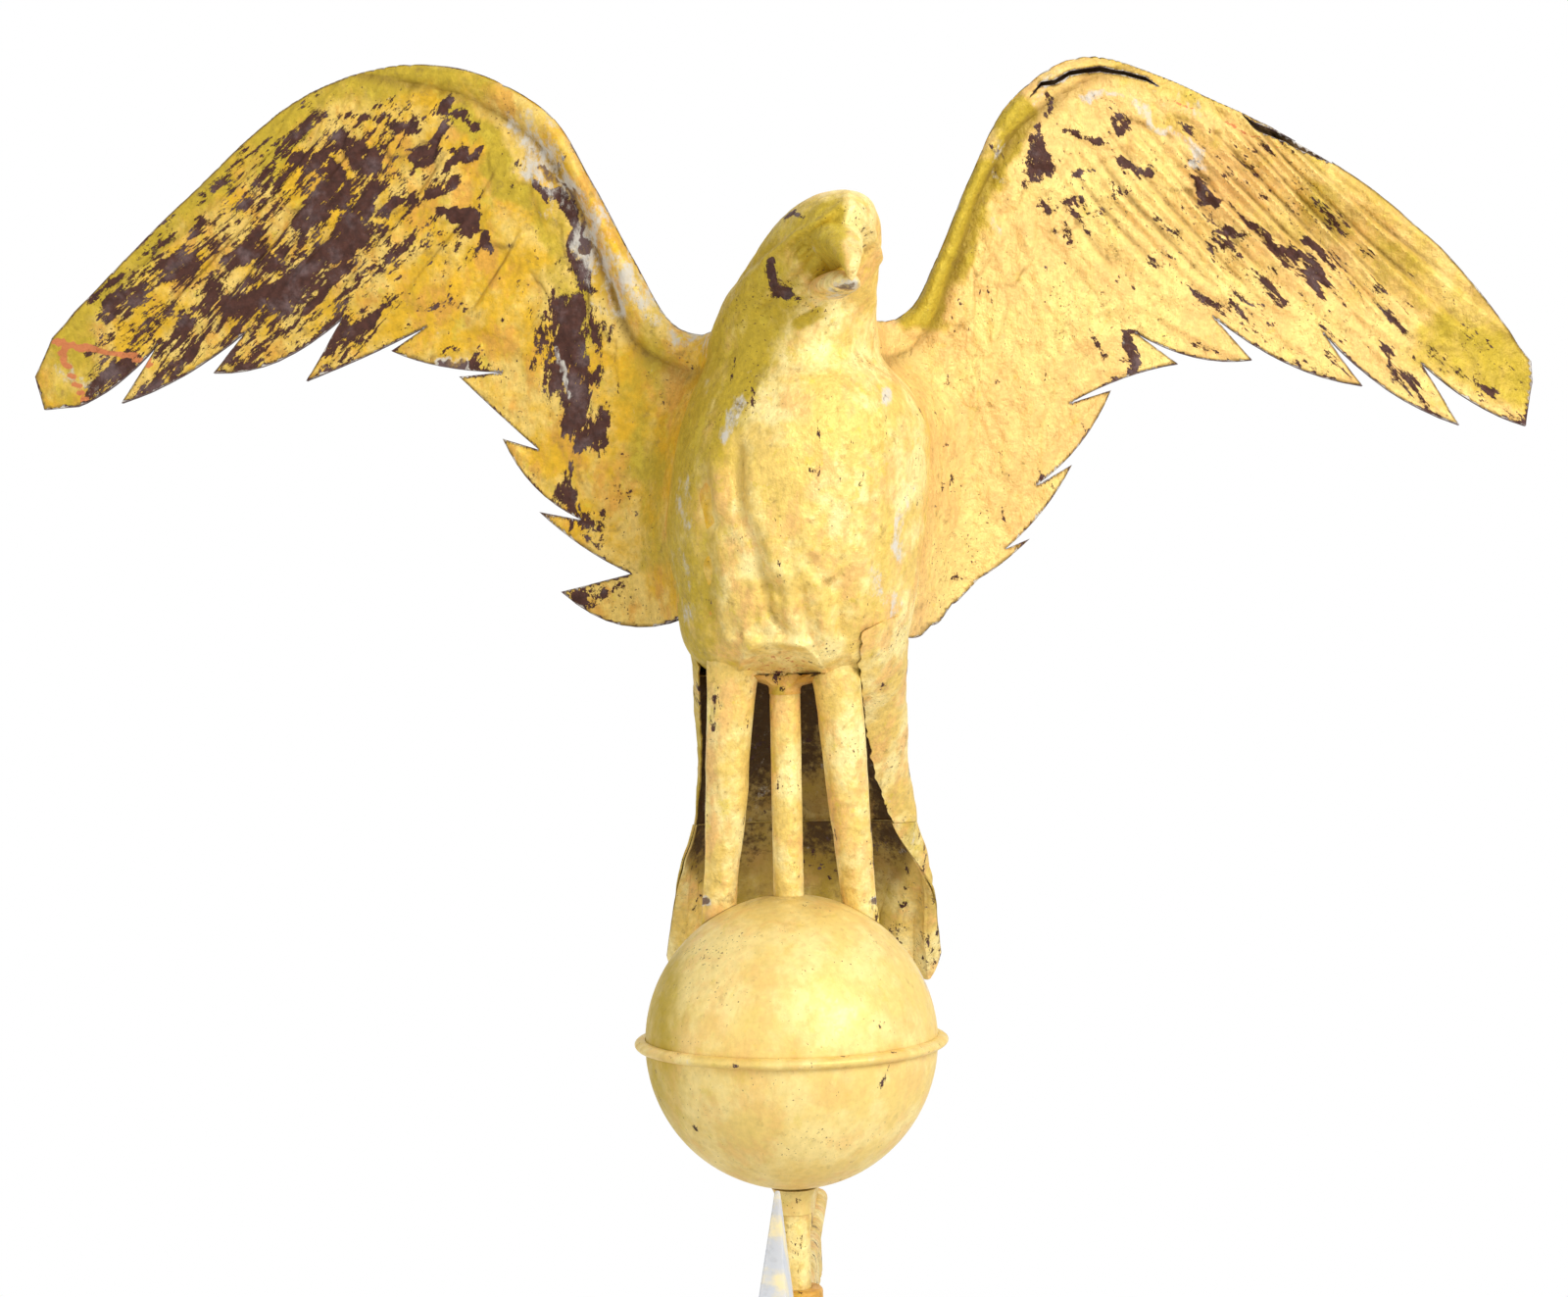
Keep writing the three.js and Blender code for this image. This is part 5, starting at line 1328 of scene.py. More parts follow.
def build_head(b):
    """Neck and head, with brows, sockets and cheeks."""
    neck = b.torso_foot + b.torso_rise
    kept = {}

    def place(across, down):
        turn = (across - 0.5) * math.tau
        base = head_place(b, turn, down)
        arc = turn * HEAD_ROUND
        unit = math.radians(HEAD_ROUND / MM)
        folds = [(rise, half, *[(a * unit, h) for a, h in line]) for rise, half, *line in HEAD_FOLDS]
        crease = folded(arc, base[:, 2], folds)
        for side in (-1, 1):
            away = np.hypot(arc - side * EYE_TURN * HEAD_ROUND, base[:, 2] - EYE_HEIGHT * MM)
            crease += -0.0016 * hill(away, 0.0062) + 0.0026 * hill(away, 0.0034, 4)
            crease += 0.0008 * hill(away - 0.0052, 0.0011)
        root = np.hypot(arc, 0.8 * (base[:, 2] - neck - b.beak_rise))
        crease += 0.0085 * hill(root, 0.0135) * (np.cos(turn) > 0)
        lumps = ripple(base, 0.02, 3) * 0.0006 + ripple(base, 0.012, 2, (0.6, 0.6, 1.8)) * 0.0004
        fade = np.clip(np.minimum(12 * down + 0.15, 5 * (1 - down)), 0, 1)
        # Painted shade and dirt in the head's creases: brows, sockets and folds
        kept["dirt_and_shade"] = np.clip(-crease / 0.002, 0, 1) * 0.5
        return head_place(b, turn, down, (crease + lumps) * fade)

    mesh = skin("head", 260, 150, place, (0.02, -0.03, 0.655), True, kept)
    points = places_of(mesh)
    x, z = points[:, 0], points[:, 2]
    near = points[:, 1] < b.seam_place - 0.02
    # Painted shade: olive round the beak's root on its shaded side
    facet = beak_shade(x) * (1 - ease(np.hypot(x - 0.032, z - 0.668), 0.013, 0.03))
    paint(
        mesh,
        flake=0.05 + 0.95 * worn(x, z, HEAD_FLAKES) * near,
        olive=np.maximum(np.maximum(shade_side(points), facet * near), 0.85 * worn(x, z, HEAD_OLIVES_AND_SHADE) * near),
        grey=0.12,
        dirt_and_shade=dirt_and_shade_of(mesh),
    )
    piece = walled(shown("head", mesh), b.sheet)
    placed(piece, ["head_shell"], "vane", "gilt_body")


def beak_mesh(b, table, deep, name):
    """One half of the beak: a loft along a curve that leaves the face and hooks down."""
    root = face_spot(b, b.torso_foot + b.torso_rise + b.beak_rise)
    facing = np.array([math.sin(b.head_turn), -math.cos(b.head_turn), 0])
    beside = np.array([math.cos(b.head_turn), math.sin(b.head_turn), 0])
    upper = table is BEAK_SHARES

    def middle(key):
        reach, drop = evenly(table, key)[:2]
        spot = root + b.beak_reach * reach[:, None] * facing
        spot[:, 2] += b.beak_reach * drop
        return spot

    def place(across, down):
        turn = across * math.tau
        key = np.clip(down, 0.0, 1.0)
        along = middle(np.minimum(key + 0.02, 1)) - middle(np.maximum(key - 0.02, 0))
        along /= np.linalg.norm(along, axis=1)[:, None]
        up = np.cross(np.broadcast_to(beside, along.shape), along)
        wide, thick = evenly(table, key)[2:]
        blunt = np.sqrt(np.clip(1 - np.clip((down - 0.9) / 0.1, 0, 1) ** 2, 0, 1)) * np.clip(down * 1e6, 0, 1)
        lift = np.sin(turn)
        width = b.beak_width * wide * (1 - 0.4 * np.maximum(lift, 0) ** 1.4 * upper)
        ridge = 1 + 0.14 * hill(turn - math.pi / 2, 0.3) * upper
        flat = np.where(lift < 0, 0.72, 1.0) if upper else np.where(lift > 0, 0.5, 1.0)
        spot = middle(key) + beside * (width * blunt * np.cos(turn))[:, None]
        return spot + up * (deep * thick * blunt * lift * ridge * flat)[:, None]

    return skin(name, 72, 60, place, tuple(middle(np.array([0.35]))[0]), True)


def build_beak(b):
    """The upper and lower beak."""
    halves = (("beak_upper", BEAK_SHARES, b.beak_depth), ("beak_lower", JAW_SHARES, b.jaw_depth))
    for name, table, deep in halves:
        mesh = beak_mesh(b, table, deep, name)
        points = places_of(mesh)
        lower = name == "beak_lower"
        if lower:
            grey = 0.1 + 0.9 * worn(points[:, 0], points[:, 2], [(31, 641, 41, 643, 3.4, 0.85)])
        else:
            grey = 0.1 + 0.6 * worn(points[:, 0], points[:, 2], [(16, 659, 22, 664, 3, 1.0)])
        # Painted shade: the upper beak is olive on the shaded side of its ridge
        paint(mesh, olive=0.2 if lower else beak_shade(points[:, 0]), grey=grey, dirt_and_shade=0.12)
        placed(shown(name, mesh), [name], "vane", "gilt_body", 60)


def build_legs(b, t):
    """The two tapered legs, from the belly down to the ball."""
    for name, side in (("leg_left", 1), ("leg_right", -1)):

        def place(across, down, side=side):
            turn = across * math.tau
            swell = 1 + 0.12 * np.sin(math.pi * np.minimum(down * 1.6, 1))
            radius = (b.thigh + (b.ankle - b.thigh) * down**0.8) * swell * (0.8 + 0.2 * down)
            spread = b.hip_spread + (b.ankle_spread - b.hip_spread) * down**1.6
            place_y = -0.004 + 0.016 * down
            z = b.leg_top + (b.leg_foot - b.leg_top) * down
            flare = 0.012 * np.exp(-down / 0.07) * (0.5 - 0.5 * side * np.sin(turn))
            base = np.stack([side * spread + radius * np.sin(turn), place_y - radius * np.cos(turn), z], 1)
            rough = ripple(base, 0.014, 3, (1, 1, 2.2)) * 0.0007
            seam = 0.0009 * hill(turn - (1.1 if side > 0 else 5.2), 0.12)
            grown = radius + rough + seam + flare
            x = side * spread + grown * np.sin(turn)
            return np.stack([x, place_y - grown * np.cos(turn), z], 1)

        mesh = skin(name, 72, 150, place, (side * 0.035, 0.004, 0.39), True)
        piece = walled(shown(name, mesh), b.sheet)
        ball = bmesh.new()
        bmesh.ops.create_uvsphere(ball, u_segments=96, v_segments=64, radius=t.ball_radius + 0.0002)
        bmesh.ops.translate(ball, vec=(0, 0, t.ball_centre), verts=ball.verts)
        sphere = bpy.data.meshes.new("sphere")
        ball.to_mesh(sphere)
        ball.free()
        cut(piece, sphere)
        points = places_of(piece.data)
        outer = ease(side * points[:, 0], 0.038, 0.05)
        grey = [(side * 47 - 4, 336, side * 47 + 4, 338, 2.4, 1.0)]
        paint(
            piece.data,
            flake=0.12 + 0.25 * outer,
            olive=0.1 + 0.5 * outer,
            grey=0.15 + 0.85 * worn(points[:, 0], points[:, 2], grey),
            dirt_and_shade=0.1 * outer,
        )
        placed(piece, [name], "vane", "gilt_body")


def in_metres(w, line):
    """A line given in shares of a wing's reach and rise, in metres from its root's foot."""
    return [(a * w.reach, c * w.rise) for a, c in line]


def wing_outline(w, side, lead, tip, teeth, inner):
    """A wing's outline in metres: leading edge, tip feather, then each tooth's bellied inner side."""
    points = list(zip(*evenly(lead, np.linspace(0, 1, 60)))) + tip
    for tooth in teeth:
        points += bow(tooth[:2], tooth[2:4], tooth[4:], 9)
    points += [(inner / w.reach, points[-1][1]), (inner / w.reach, points[0][1])]
    points = [p for p in points if p[0] * w.reach >= inner - 1e-6]
    return [(side * w.reach * x, w.foot + w.rise * z) for x, z in points]


def fan(s, u):
    """Places in a wing's plane: s from the root feather to the outermost, u from the arm to the tip."""
    start, bend, end = np.split(evenly(FAN_SHARES, s), 3)
    return start * (1 - u) ** 2 + bend * 2 * u * (1 - u) + end * u * u


def wing_set(w, x, z):
    """How far behind the spindle a wing's middle surface lies, at shares of its reach and rise."""
    reach = np.clip(x, 0, 1.1)
    cup = 4 * w.cup * reach * (1 - np.minimum(reach, 1))
    return w.root_place + w.sweep * reach**1.5 + w.lean * (1 - z) + cup


def panel_line(w, lead, tip, teeth):
    """The line just inside the notches, where the moulded feathers end and the serrated flange starts."""
    points = [(tip[0][0] + 0.02, tip[0][1] + 0.06)]
    for x, z in [lead[-1]] + [(t[4], t[5]) for t in teeth]:
        points.append((x - 1.4 * PANEL_INSET / w.reach, z + 1.2 * PANEL_INSET / w.rise))
    return points


def slanted(s, u):
    """Places across the feathers, which lean outwards along the serrated edge."""
    return s - 0.26 * ease(s, 0.15, 0.7) * (u - 0.35)


def wing_relief(w, s, u, x, z, front, lead, tip, teeth, left, edge):
    """Height of a wing's relief in metres, and the grime and painted shade that lie in it."""
    # The arm's roll, and the line where the moulded feathers end
    arm = w.arm_front if front else w.arm_back
    wide, tall, start = cubic(ARM_ROWS, s)
    across = np.clip(2 * (u - start) / wide - 1, -1, 1)
    roll = arm * tall * np.sqrt(1 - across * across)
    past = ease(u, start + wide * 0.75, start + wide * 1.25)
    border = in_metres(w, panel_line(w, lead, tip, teeth))
    field = [(0.0, border[-1][1]), (0.0, 2 * w.rise), (2 * w.reach, 2 * w.rise)] + border
    px, pz = x * w.reach, z * w.rise
    away = off_line(px, pz, border) * np.where(inside(px, pz, field), 1, -1)

    # Feather ridges, shafts, laps and pleats
    spread = np.stack([s * 3, u * 1.4, 0 * s + 4], 1)
    wander = slanted(s, u) + 0.008 * ripple(spread, 1.0, 3)
    n = w.feathers if left else 0.66 * w.feathers
    rib = np.abs(np.sin(math.pi * wander * n))
    end = ease(away, -0.001 + 0.005 * (1 - rib), 0.005 + 0.006 * (1 - rib))
    lobe = w.ridge * 0.5 * (rib**0.7) * (0.3 + 0.7 * ease(s, 0.2, 0.45) * (1 - 0.4 * ease(s, 0.6, 0.75)))
    phase = (wander * (1.35 if left else 2) * n) % 1
    crest = hill(phase - 0.36, 0.18) - 0.7 * hill(phase - 0.72, 0.13)
    vary = np.clip(0.8 + 0.9 * ripple(spread + 7, 0.4, 2), 0.1, 1.6)
    fade = ease(away, 0.001, 0.016) * ease(u, 0.2, 0.42)
    shaft = w.ridge * (1.0 if left else 0.2) * crest * vary * fade * (0.12 + 0.88 * ease(s, 0.36, 0.56))
    lap = (wander * n + 0.2) % 1
    uneven = np.clip(0.75 + 0.8 * ripple(spread + 17, 0.3, 2), 0, 1.3)
    laps = (0 if left else 1) * fade * ease(s, 0.22, 0.4) * uneven
    shaft += 0.0021 * (lap**1.3 * (1 - ease(lap, 0.9, 1.0)) - 0.3) * laps
    pleats = ripple(np.stack([wander * 0.6, u * 0.16, 0 * u + left], 1), 0.02, 3)
    shaft += (0.0008 + 0.0011 * (1 - ease(u, 0.5, 0.7))) * pleats * ease(s, 0.1, 0.3) * ease(away, 0, 0.012)
    panel = (0.001 + lobe + shaft) * past * end

    # Two rows of coverts
    first = np.abs(np.sin(math.pi * wander * COVERTS)) ** 0.7
    second = np.abs(np.cos(math.pi * wander * COVERTS)) ** 0.7
    jag = 0.034 * ripple(spread + 3, 0.16, 3)
    edge_one = 0.29 + 0.06 * first + jag
    edge_two = 0.43 + 0.07 * second + jag
    show = ease(s, 0.02, 0.2) * (1 - 0.5 * ease(s, 0.6, 0.9))
    one = w.covert * (0.4 + 0.6 * ease(u, edge_one - 0.14, edge_one)) * (0.7 + 0.3 * first)
    one *= 1 - ease(u, edge_one, edge_one + 0.018)
    two = w.covert * 0.75 * (0.3 + 0.7 * ease(u, edge_two - 0.14, edge_two)) * (0.7 + 0.3 * second)
    two *= 1 - ease(u, edge_two, edge_two + 0.018)
    coverts = 0.001 * past + np.maximum(one + 0.4 * two, two) * show * past * ease(away, 0, 0.01)

    relief = np.maximum(panel, np.where(u < 0.56, coverts + 0.5 * shaft, 0) * end)
    near_edge = np.clip(off_line(px, pz, edge) / 0.009, 0, 1)
    relief = np.maximum(roll, relief) * np.sqrt(1 - (1 - near_edge) ** 2)

    # Midribs on the front's flange
    flange = 1 - ease(away, -0.002, 0.003)
    if front:
        outer = lead[-1]
        for tx, tz, _, _, nx, nz in teeth:
            sx, sz = (outer[0] + nx) / 2, (outer[1] + nz) / 2
            outer = (nx, nz)
            heel = (sx + 0.18 * (sx - tx), sz + 0.25 * (sz - tz))
            bend = ((sx + tx) / 2 - 0.006, (sz + tz) / 2 - 0.012)
            near = off_line(px, pz, in_metres(w, bow(heel, bend, (tx, tz), 7)))
            relief += 0.0013 * hill(near, MIDRIB_WIDTH) * flange

    # Dirt and painted shade in the valleys, at the coverts' edges, along the arm's foot and at the panel's
    # border
    valley = hill(phase - 0.72, 0.13) * np.clip(vary, 0, 1) * fade * ease(s, 0.3, 0.5)
    step_dirt_and_shade = show * (hill(u - edge_one - 0.012, 0.009) + hill(u - edge_two - 0.012, 0.009))
    foot = ease(u, start + wide * 0.85, start + wide) * (1 - ease(u, start + wide, start + wide * 1.5))
    broken = np.clip(0.55 + 1.1 * ripple(spread + 11, 0.3, 3), 0, 1)
    valley = valley if left else 0.5 * valley + hill(lap - 0.97, 0.035) * laps
    lines = (0.62 if left else 0.45) * valley + 0.5 * step_dirt_and_shade * broken + 0.5 * foot
    return relief, np.clip(lines + 0.3 * hill(away, 0.002), 0, 0.66)


def build_wing(v, name, side, front, lead, tip, teeth, flakes, greys_and_light, scratches, olives_and_shade, splits):
    """One moulding of a wing: the front one bulges forward and carries the serrated flange."""
    w, b = v.wing, v.body
    way = -1 if front else 1
    columns, rows = (390, 124) if front else (240, 110)
    kept = {}
    outline = wing_outline(w, side, lead, tip, teeth, WING_INNER)
    edge = [(side * a, c - w.foot) for a, c in outline[:50]]

    def place(across, down):
        u = -0.08 + 1.14 * down
        x, z = fan(across, u)
        relief, kept["dirt_and_shade"] = wing_relief(w, across, u, x, z, front, lead, tip, teeth, side > 0, edge)
        kept["strip"] = np.stack([slanted(across, u), u], 1)
        flat = np.stack([x * w.reach, 0 * x + side, z * w.rise], 1)
        bend = ease((x - 0.9) * w.reach - (z - 0.5) * w.rise, 0.0, 0.05) * ease(x, 0.88, 1.0)
        crumple = ripple(flat, 0.03, 4) * 0.0013 + ripple(flat + 9, 0.011, 4) * 0.0006
        y = wing_set(w, x, z) + way * (FIT / 2 + b.sheet + relief) + crumple + 0.003 * bend
        wx, wz = side * w.reach * x, w.foot + w.rise * z
        gap = way * (body_side(b, wx, wz, way) - y)
        near = np.clip(1 - np.abs(gap) / ROOT_BLEND, 0, 1)
        tuck = 0.0022 * ease(gap, 0.6 * ROOT_BLEND, 1.1 * ROOT_BLEND)
        y += way * (np.maximum(gap, 0) + near * near * ROOT_BLEND / 4 - tuck)
        if not front:
            y -= 0.006 * (1 - ease(x * w.reach, 0.028, 0.06))
        return np.stack([wx, y, wz], 1)

    mesh = skin(name, columns, rows, place, (side * 0.2, 1.0 if front else -1.0, 0.6), kept=kept)
    corners = np.empty(len(mesh.loops), np.int32)
    mesh.loops.foreach_get("vertex_index", corners)
    mesh.uv_layers["skin"].data.foreach_set("uv", kept["strip"][corners].astype(np.float32).ravel())
    points = places_of(mesh)
    px, pz = side * points[:, 0], points[:, 2] - w.foot
    x, z = px / w.reach, pz / w.rise
    unit = (w.reach, w.rise)
    flat = np.stack([px, 0 * px + side, pz], 1)
    warp_x = px + 0.01 * ripple(flat + 2, 0.024, 5)
    warp_z = pz + 0.01 * ripple(flat + 5, 0.024, 5)
    rim = 1 - ease(off_line(px, pz, in_metres(w, lead)), 0.004, 0.02)
    brink = 1 - ease(off_line(points[:, 0], points[:, 2], outline[40:]), 0.0003, 0.0018)
    brink *= ease(px, 0.05, 0.07)
    body_near = 1 - ease(px, 0.06, 0.13)
    right = side < 0
    if front:
        base = 0.12 + (0.38 * ease(x, 0.36, 0.56) if right else 0.2 * ease(x, 0.4, 0.6))
        spots = (1 if right else 0.86) * worn(warp_x, warp_z, flakes, unit)
        flake = np.maximum(spots, base * (1 - 0.75 * rim))
        flake *= (1 - (ease(x, 0.95, 0.97) if right else 0)) * (1 - 0.6 * rim)
        # Grey bloom, with the painted light of the right wing's arm
        grey = np.maximum((1 if right else 0.8) * worn(warp_x, warp_z, greys_and_light, unit), 0.16)
        near_x, near_z = warp_x * 0.2 + px * 0.8, warp_z * 0.2 + pz * 0.8
        scratch = (1 if right else 0.66) * worn(near_x, near_z, scratches, unit)
        # Olive from the tables, with their painted shade, and a band along the leading edge
        olive = np.maximum(0.8 * worn(warp_x, warp_z, olives_and_shade, unit), 0.5 * rim * ease(x, 0.3, 0.42))
    else:
        flake = 0.46 * (1 - 0.6 * rim) * ease(x, 0.1, 0.5) + 0.12
        grey = np.full(x.shape, 0.25)
        scratch = np.zeros(x.shape)
        olive = 0.5 * rim + 0.2
    dirt_and_shade = np.maximum(dirt_and_shade_of(mesh) + 0.12 * ripple(flat, 0.05, 3), 0.85 * brink)
    # Painted shadow: near-black along each split, where it opens into the wing
    for _, line in splits if front else []:
        near = off_line(px, pz, in_metres(w, line[1:-1]))
        dirt_and_shade = np.maximum(dirt_and_shade, 0.98 * (1 - ease(near, 0.001, 0.0028)))
    # Olive near the body; painted shade adds olive over the eagle's right wing beyond its arm, and painted
    # light takes a little off the left wing
    olive = np.clip(olive + 0.15 * body_near + (0.2 * ease(x, 0.28, 0.4) if right else -0.05), 0, 1)
    paint(mesh, flake=flake, olive=olive, grey=grey, dirt_and_shade=dirt_and_shade, scratch=scratch)
    piece = walled(shown(name, mesh), b.sheet)
    cut(piece, prism(outline, -0.3, 0.3, (0, 2, 1)), "INTERSECT")
    if front:
        for gap, line in splits:
            first, *middle, last = [(side * a, w.foot + c) for a, c in in_metres(w, line)]
            upper = [(a, c + gap) for a, c in middle]
            lower = [(a, c - gap) for a, c in reversed(middle)]
            cut(piece, prism([first, *upper, last, *lower], -0.1, 0.3, (0, 2, 1)))
    kind = ("gilt_wing_left_lit" if side > 0 else "gilt_wing_right_shaded") if front else "gilt_wing_back"
    placed(piece, [name], "vane", kind)


def tail_place(b, across, down):
    """Points of the tail's surface, across from -1 to 1 and down from 0 at the rump to 1 at the tip."""
    turn = across * (math.pi / 2 + np.radians(np.where(across < 0, *HIP_TURNS)) * (1 - ease(down, 0, 0.8)))
    rump = np.full(np.shape(turn), b.rump_height)
    start = back_place(b, -turn, rump)
    wide = 1 - 0.2 * down
    spread = np.sin(turn * wide) / np.sin(math.pi / 2 * wide)
    _, middle, half, _, _ = back_rows(b)[0]
    edge = half + (b.tail_half - half) * down
    foot = b.rump_height - b.tail_length + b.tail_arch * across * across
    y = start[:, 1] + (b.tail_reach - b.tail_arch * across * across - start[:, 1]) * down
    z = b.rump_height - FIT + (foot - b.rump_height) * down
    return np.stack([middle * (1 - down) - edge * spread, y, z], 1)


def build_tail(b):
    """The tail's ribbed front sheet, seen in the hollow, and the rear one."""
    feathers = 7

    def surface(across, down, distance):
        step = 0.01
        along = tail_place(b, across, down + step) - tail_place(b, across, down - step)
        beside = tail_place(b, across + step, down) - tail_place(b, across - step, down)
        normal = np.cross(beside, along)
        normal /= np.linalg.norm(normal, axis=1)[:, None]
        return tail_place(b, across, down) + normal * distance[:, None]

    for name, under in (("tail_upper", False), ("tail_under", True)):

        def place(across, down, under=under):
            side = 2 * across - 1
            feather = np.abs(np.sin(across * feathers * math.pi))
            shaft = hill((across * feathers) % 1 - 0.5, 0.05)
            relief = 0.0026 * (feather**0.6 - 1) * ease(down, 0, 0.9)
            relief += 0.0007 * shaft * ease(down, 0.1, 0.4) * (-1 if under else 1)
            hollow = 0.007 * np.sin(math.pi * down) * (1 - side * side) if under else 0
            flat = np.stack([across * 0.16, down * 0.1, 0 * down + under], 1)
            dents = 0.0008 * ripple(flat, 0.03, 3) * ease(down, 0.0, 0.2)
            tuck = 0.0015 * (1 - ease(down, 0, 0.25)) - (0.0015 if under else 0)
            points = surface(side, down, relief - hollow + tuck + dents)
            points[:, 2] -= 0.009 * feather * down**4
            return points

        mesh = skin(name, 196, 110, place, (0, 0, 0.3))
        points = places_of(mesh)
        x = points[:, 0]
        high = ease(points[:, 2], b.rump_height - 0.062, b.rump_height)
        middle = 1 - ease(np.abs(x), 0.044 + 0.022 * high, 0.062 + 0.014 * high)
        patchy = 0.2 * ripple(points, 0.03, 4)
        # Inside the upper sheet: browned copper, with painted shade that darkens it towards the rump and in
        # the middle
        hidden = np.clip((0.4 + 0.52 * high**1.5 + patchy) * middle, 0, 1)
        # Painted shade: the under sheet is more olive towards the eagle's right
        olive = 0.4 + 0.2 * ease(-x, 0.03, 0.07) if under else 0.1 + 0.4 * middle
        paint(mesh, flake=0.25, olive=olive, grey=0.3 if under else 0.2, dirt_and_shade=0.1)
        piece = walled(shown(name, mesh), b.sheet, 0.5 if under else hidden)
        placed(piece, [name], "vane", "gilt_body")


def arc_profile(t, way, wall):
    """A ball half's profile: from the joint to the tube's hole on the outside, and back on the inside."""
    hole = t.tube_radius + FIT
    points = []
    for radius, back in ((t.ball_radius, False), (t.ball_radius - wall, True)):
        low, high = FIT / 2 / radius, math.acos(hole / radius)
        turns = [low + (high - low) * k / 40 for k in range(41)]
        arc = [(radius * math.cos(a), t.ball_centre + way * radius * math.sin(a)) for a in turns]
        points += arc[::-1] if back else arc
    return points


def build_ball(b, t):
    """Ball halves, bead and flare."""
    for name, way in (("ball_upper", 1), ("ball_lower", -1)):
        mesh = dented(turned_mesh(arc_profile(t, way, b.sheet), 160), 0.00022, 0.05, way)
        points = places_of(mesh)
        x, z = points[:, 0], points[:, 2]
        grey = 0.9 * worn(x, z, [(66, 311, 73, 292, 2.6, 1.0)]) * (points[:, 1] < 0)
        dirt_and_shade = 0.35 * (1 - ease(np.hypot(x, points[:, 1]), 0.009, 0.03))
        # Painted shade: more olive towards the ball's left, away from the key lamp
        paint(mesh, flake=0.0, olive=0.05 + 0.6 * ease(-x, 0.028, 0.07), grey=0.1 + grey, dirt_and_shade=dirt_and_shade)
        placed(shown(name, mesh), [name], "vane", "gilt_ball")
    foot = t.ball_radius + FIT
    turns = [math.pi * (k / 14 - 0.5) for k in range(15)]
    half = t.bead_height / 2
    bead = [(foot + t.bead_proud * math.cos(turn), t.ball_centre + half * math.sin(turn)) for turn in turns]
    mesh = dented(turned_mesh(bead, 200), 0.00025, 0.03, 3)
    paint(mesh, flake=0.1, olive=0.3, grey=0.3, dirt_and_shade=0.0)
    placed(shown("ball_bead", mesh), ["ball_bead"], "vane", "gilt_ball")
    bore = t.tube_radius + FIT
    top = t.ball_centre - t.ball_radius - FIT
    flare = [(bore, top - t.flare_height), (bore + FINE_EDGE, top - t.flare_height)]
    waist = bore + FLARE_WALL
    for k in range(13):
        share = k / 12
        flare.append((waist + (t.flare_radius - waist) * share**3, top - t.flare_height * (1 - share)))
    flare.append((bore, top))
    mesh = dented(turned_mesh(flare, 96), 0.0001, 0.02)
    paint(mesh, flake=0.15, olive=0.3, grey=0.2, dirt_and_shade=0.2)
    placed(shown("stem_flare", mesh), ["stem_flare"], "vane", "gilt_ball")


def build_tube(t):
    """The tube through the ball, and the pivot cap in its top."""
    bore = t.tube_radius - t.tube_wall
    profile = [(bore, t.tube_foot)]
    steps = 90
    rise = t.tube_top - t.tube_foot
    profile += [(t.tube_radius, t.tube_foot + rise * k / steps) for k in range(steps + 1)]
    profile.append((bore, t.tube_top))
    mesh = dented(turned_mesh(profile, 64), 0.00012, 0.025)
    points = places_of(mesh)
    z = points[:, 2]
    # Dark bands where the tube meets the belly and the ball; painted shade makes the tube greener on its left
    # side
    dirt_and_shade = 0.5 * hill(z - 0.446, 0.006) + 0.3 * hill(z - 0.338, 0.004)
    paint(mesh, flake=0.16, olive=0.1 + 0.3 * ease(-points[:, 0], 0, 0.008), grey=0.15, dirt_and_shade=dirt_and_shade)
    placed(shown("spindle_tube", mesh), ["spindle_tube"], "vane", "gilt_body")
    low = t.spindle_top + FIT
    cap = turned_mesh(rounded(bore - FIT, low, low + CAP_HEIGHT, CAP_EDGE), 48)
    placed(shown("pivot_cap", cap), ["pivot_cap"], "vane", "screw_steel")


def slotted_screw(name, start, end, height, radius, body):
    """A set screw with a rounded, slotted head, from start to end along +X."""
    rod = rounded(radius, 0, end - start, SCREW_EDGE)
    piece = shown(name, turned_mesh(rod, 40, (1, 0, 0), (start, 0, height)))
    around = ((-1, -1), (1, -1), (1, 1), (-1, 1))
    corners = [(end + a * SLOT_DEPTH, height + c * SLOT_HALF) for a, c in around]
    cut(piece, prism(corners, -2 * radius, 2 * radius, (0, 2, 1)))
    placed(piece, [name], body, "screw_steel")


def build_mast(t):
    """The fixed spindle, its collar, screw and washer."""
    r = t.spindle_radius
    dome = t.spindle_top - DOME_RISE
    turns = [math.pi / 2 * k / 8 for k in range(1, 8)]
    profile = [(0, 0), (r - FINE_EDGE, 0), (r, FINE_EDGE), (r, dome)]
    profile += [(r * math.cos(turn), dome + DOME_RISE * math.sin(turn)) for turn in turns]
    profile.append((0, t.spindle_top))
    placed(shown("spindle_rod", turned_mesh(profile, 64)), ["spindle_rod"], "mast", "dull_steel")
    bore = r + FIT
    top = t.collar_foot + t.collar_height
    middle = (t.collar_foot + top) / 2
    profile = rounded(t.collar_radius, t.collar_foot, top, SOFT_EDGE, 3, bore)
    collar = shown("spindle_collar", turned_mesh(profile, 80))
    hole = rounded(t.screw_radius + FIT, 0, 2 * t.collar_radius, CUT_EDGE)
    cut(collar, turned_mesh(hole, 40, (1, 0, 0), (0, 0, middle)))
    placed(collar, ["spindle_collar"], "mast", "dull_steel")
    slotted_screw("collar_screw", bore + FIT, t.collar_radius + SCREW_PROUD, middle, t.screw_radius, "mast")
    washer = rounded(WASHER_RADIUS, top + FIT, top + FIT + WASHER_THICK, FINE_EDGE, 3, bore)
    placed(shown("thrust_washer", turned_mesh(washer)), ["thrust_washer"], "mast", "screw_steel")


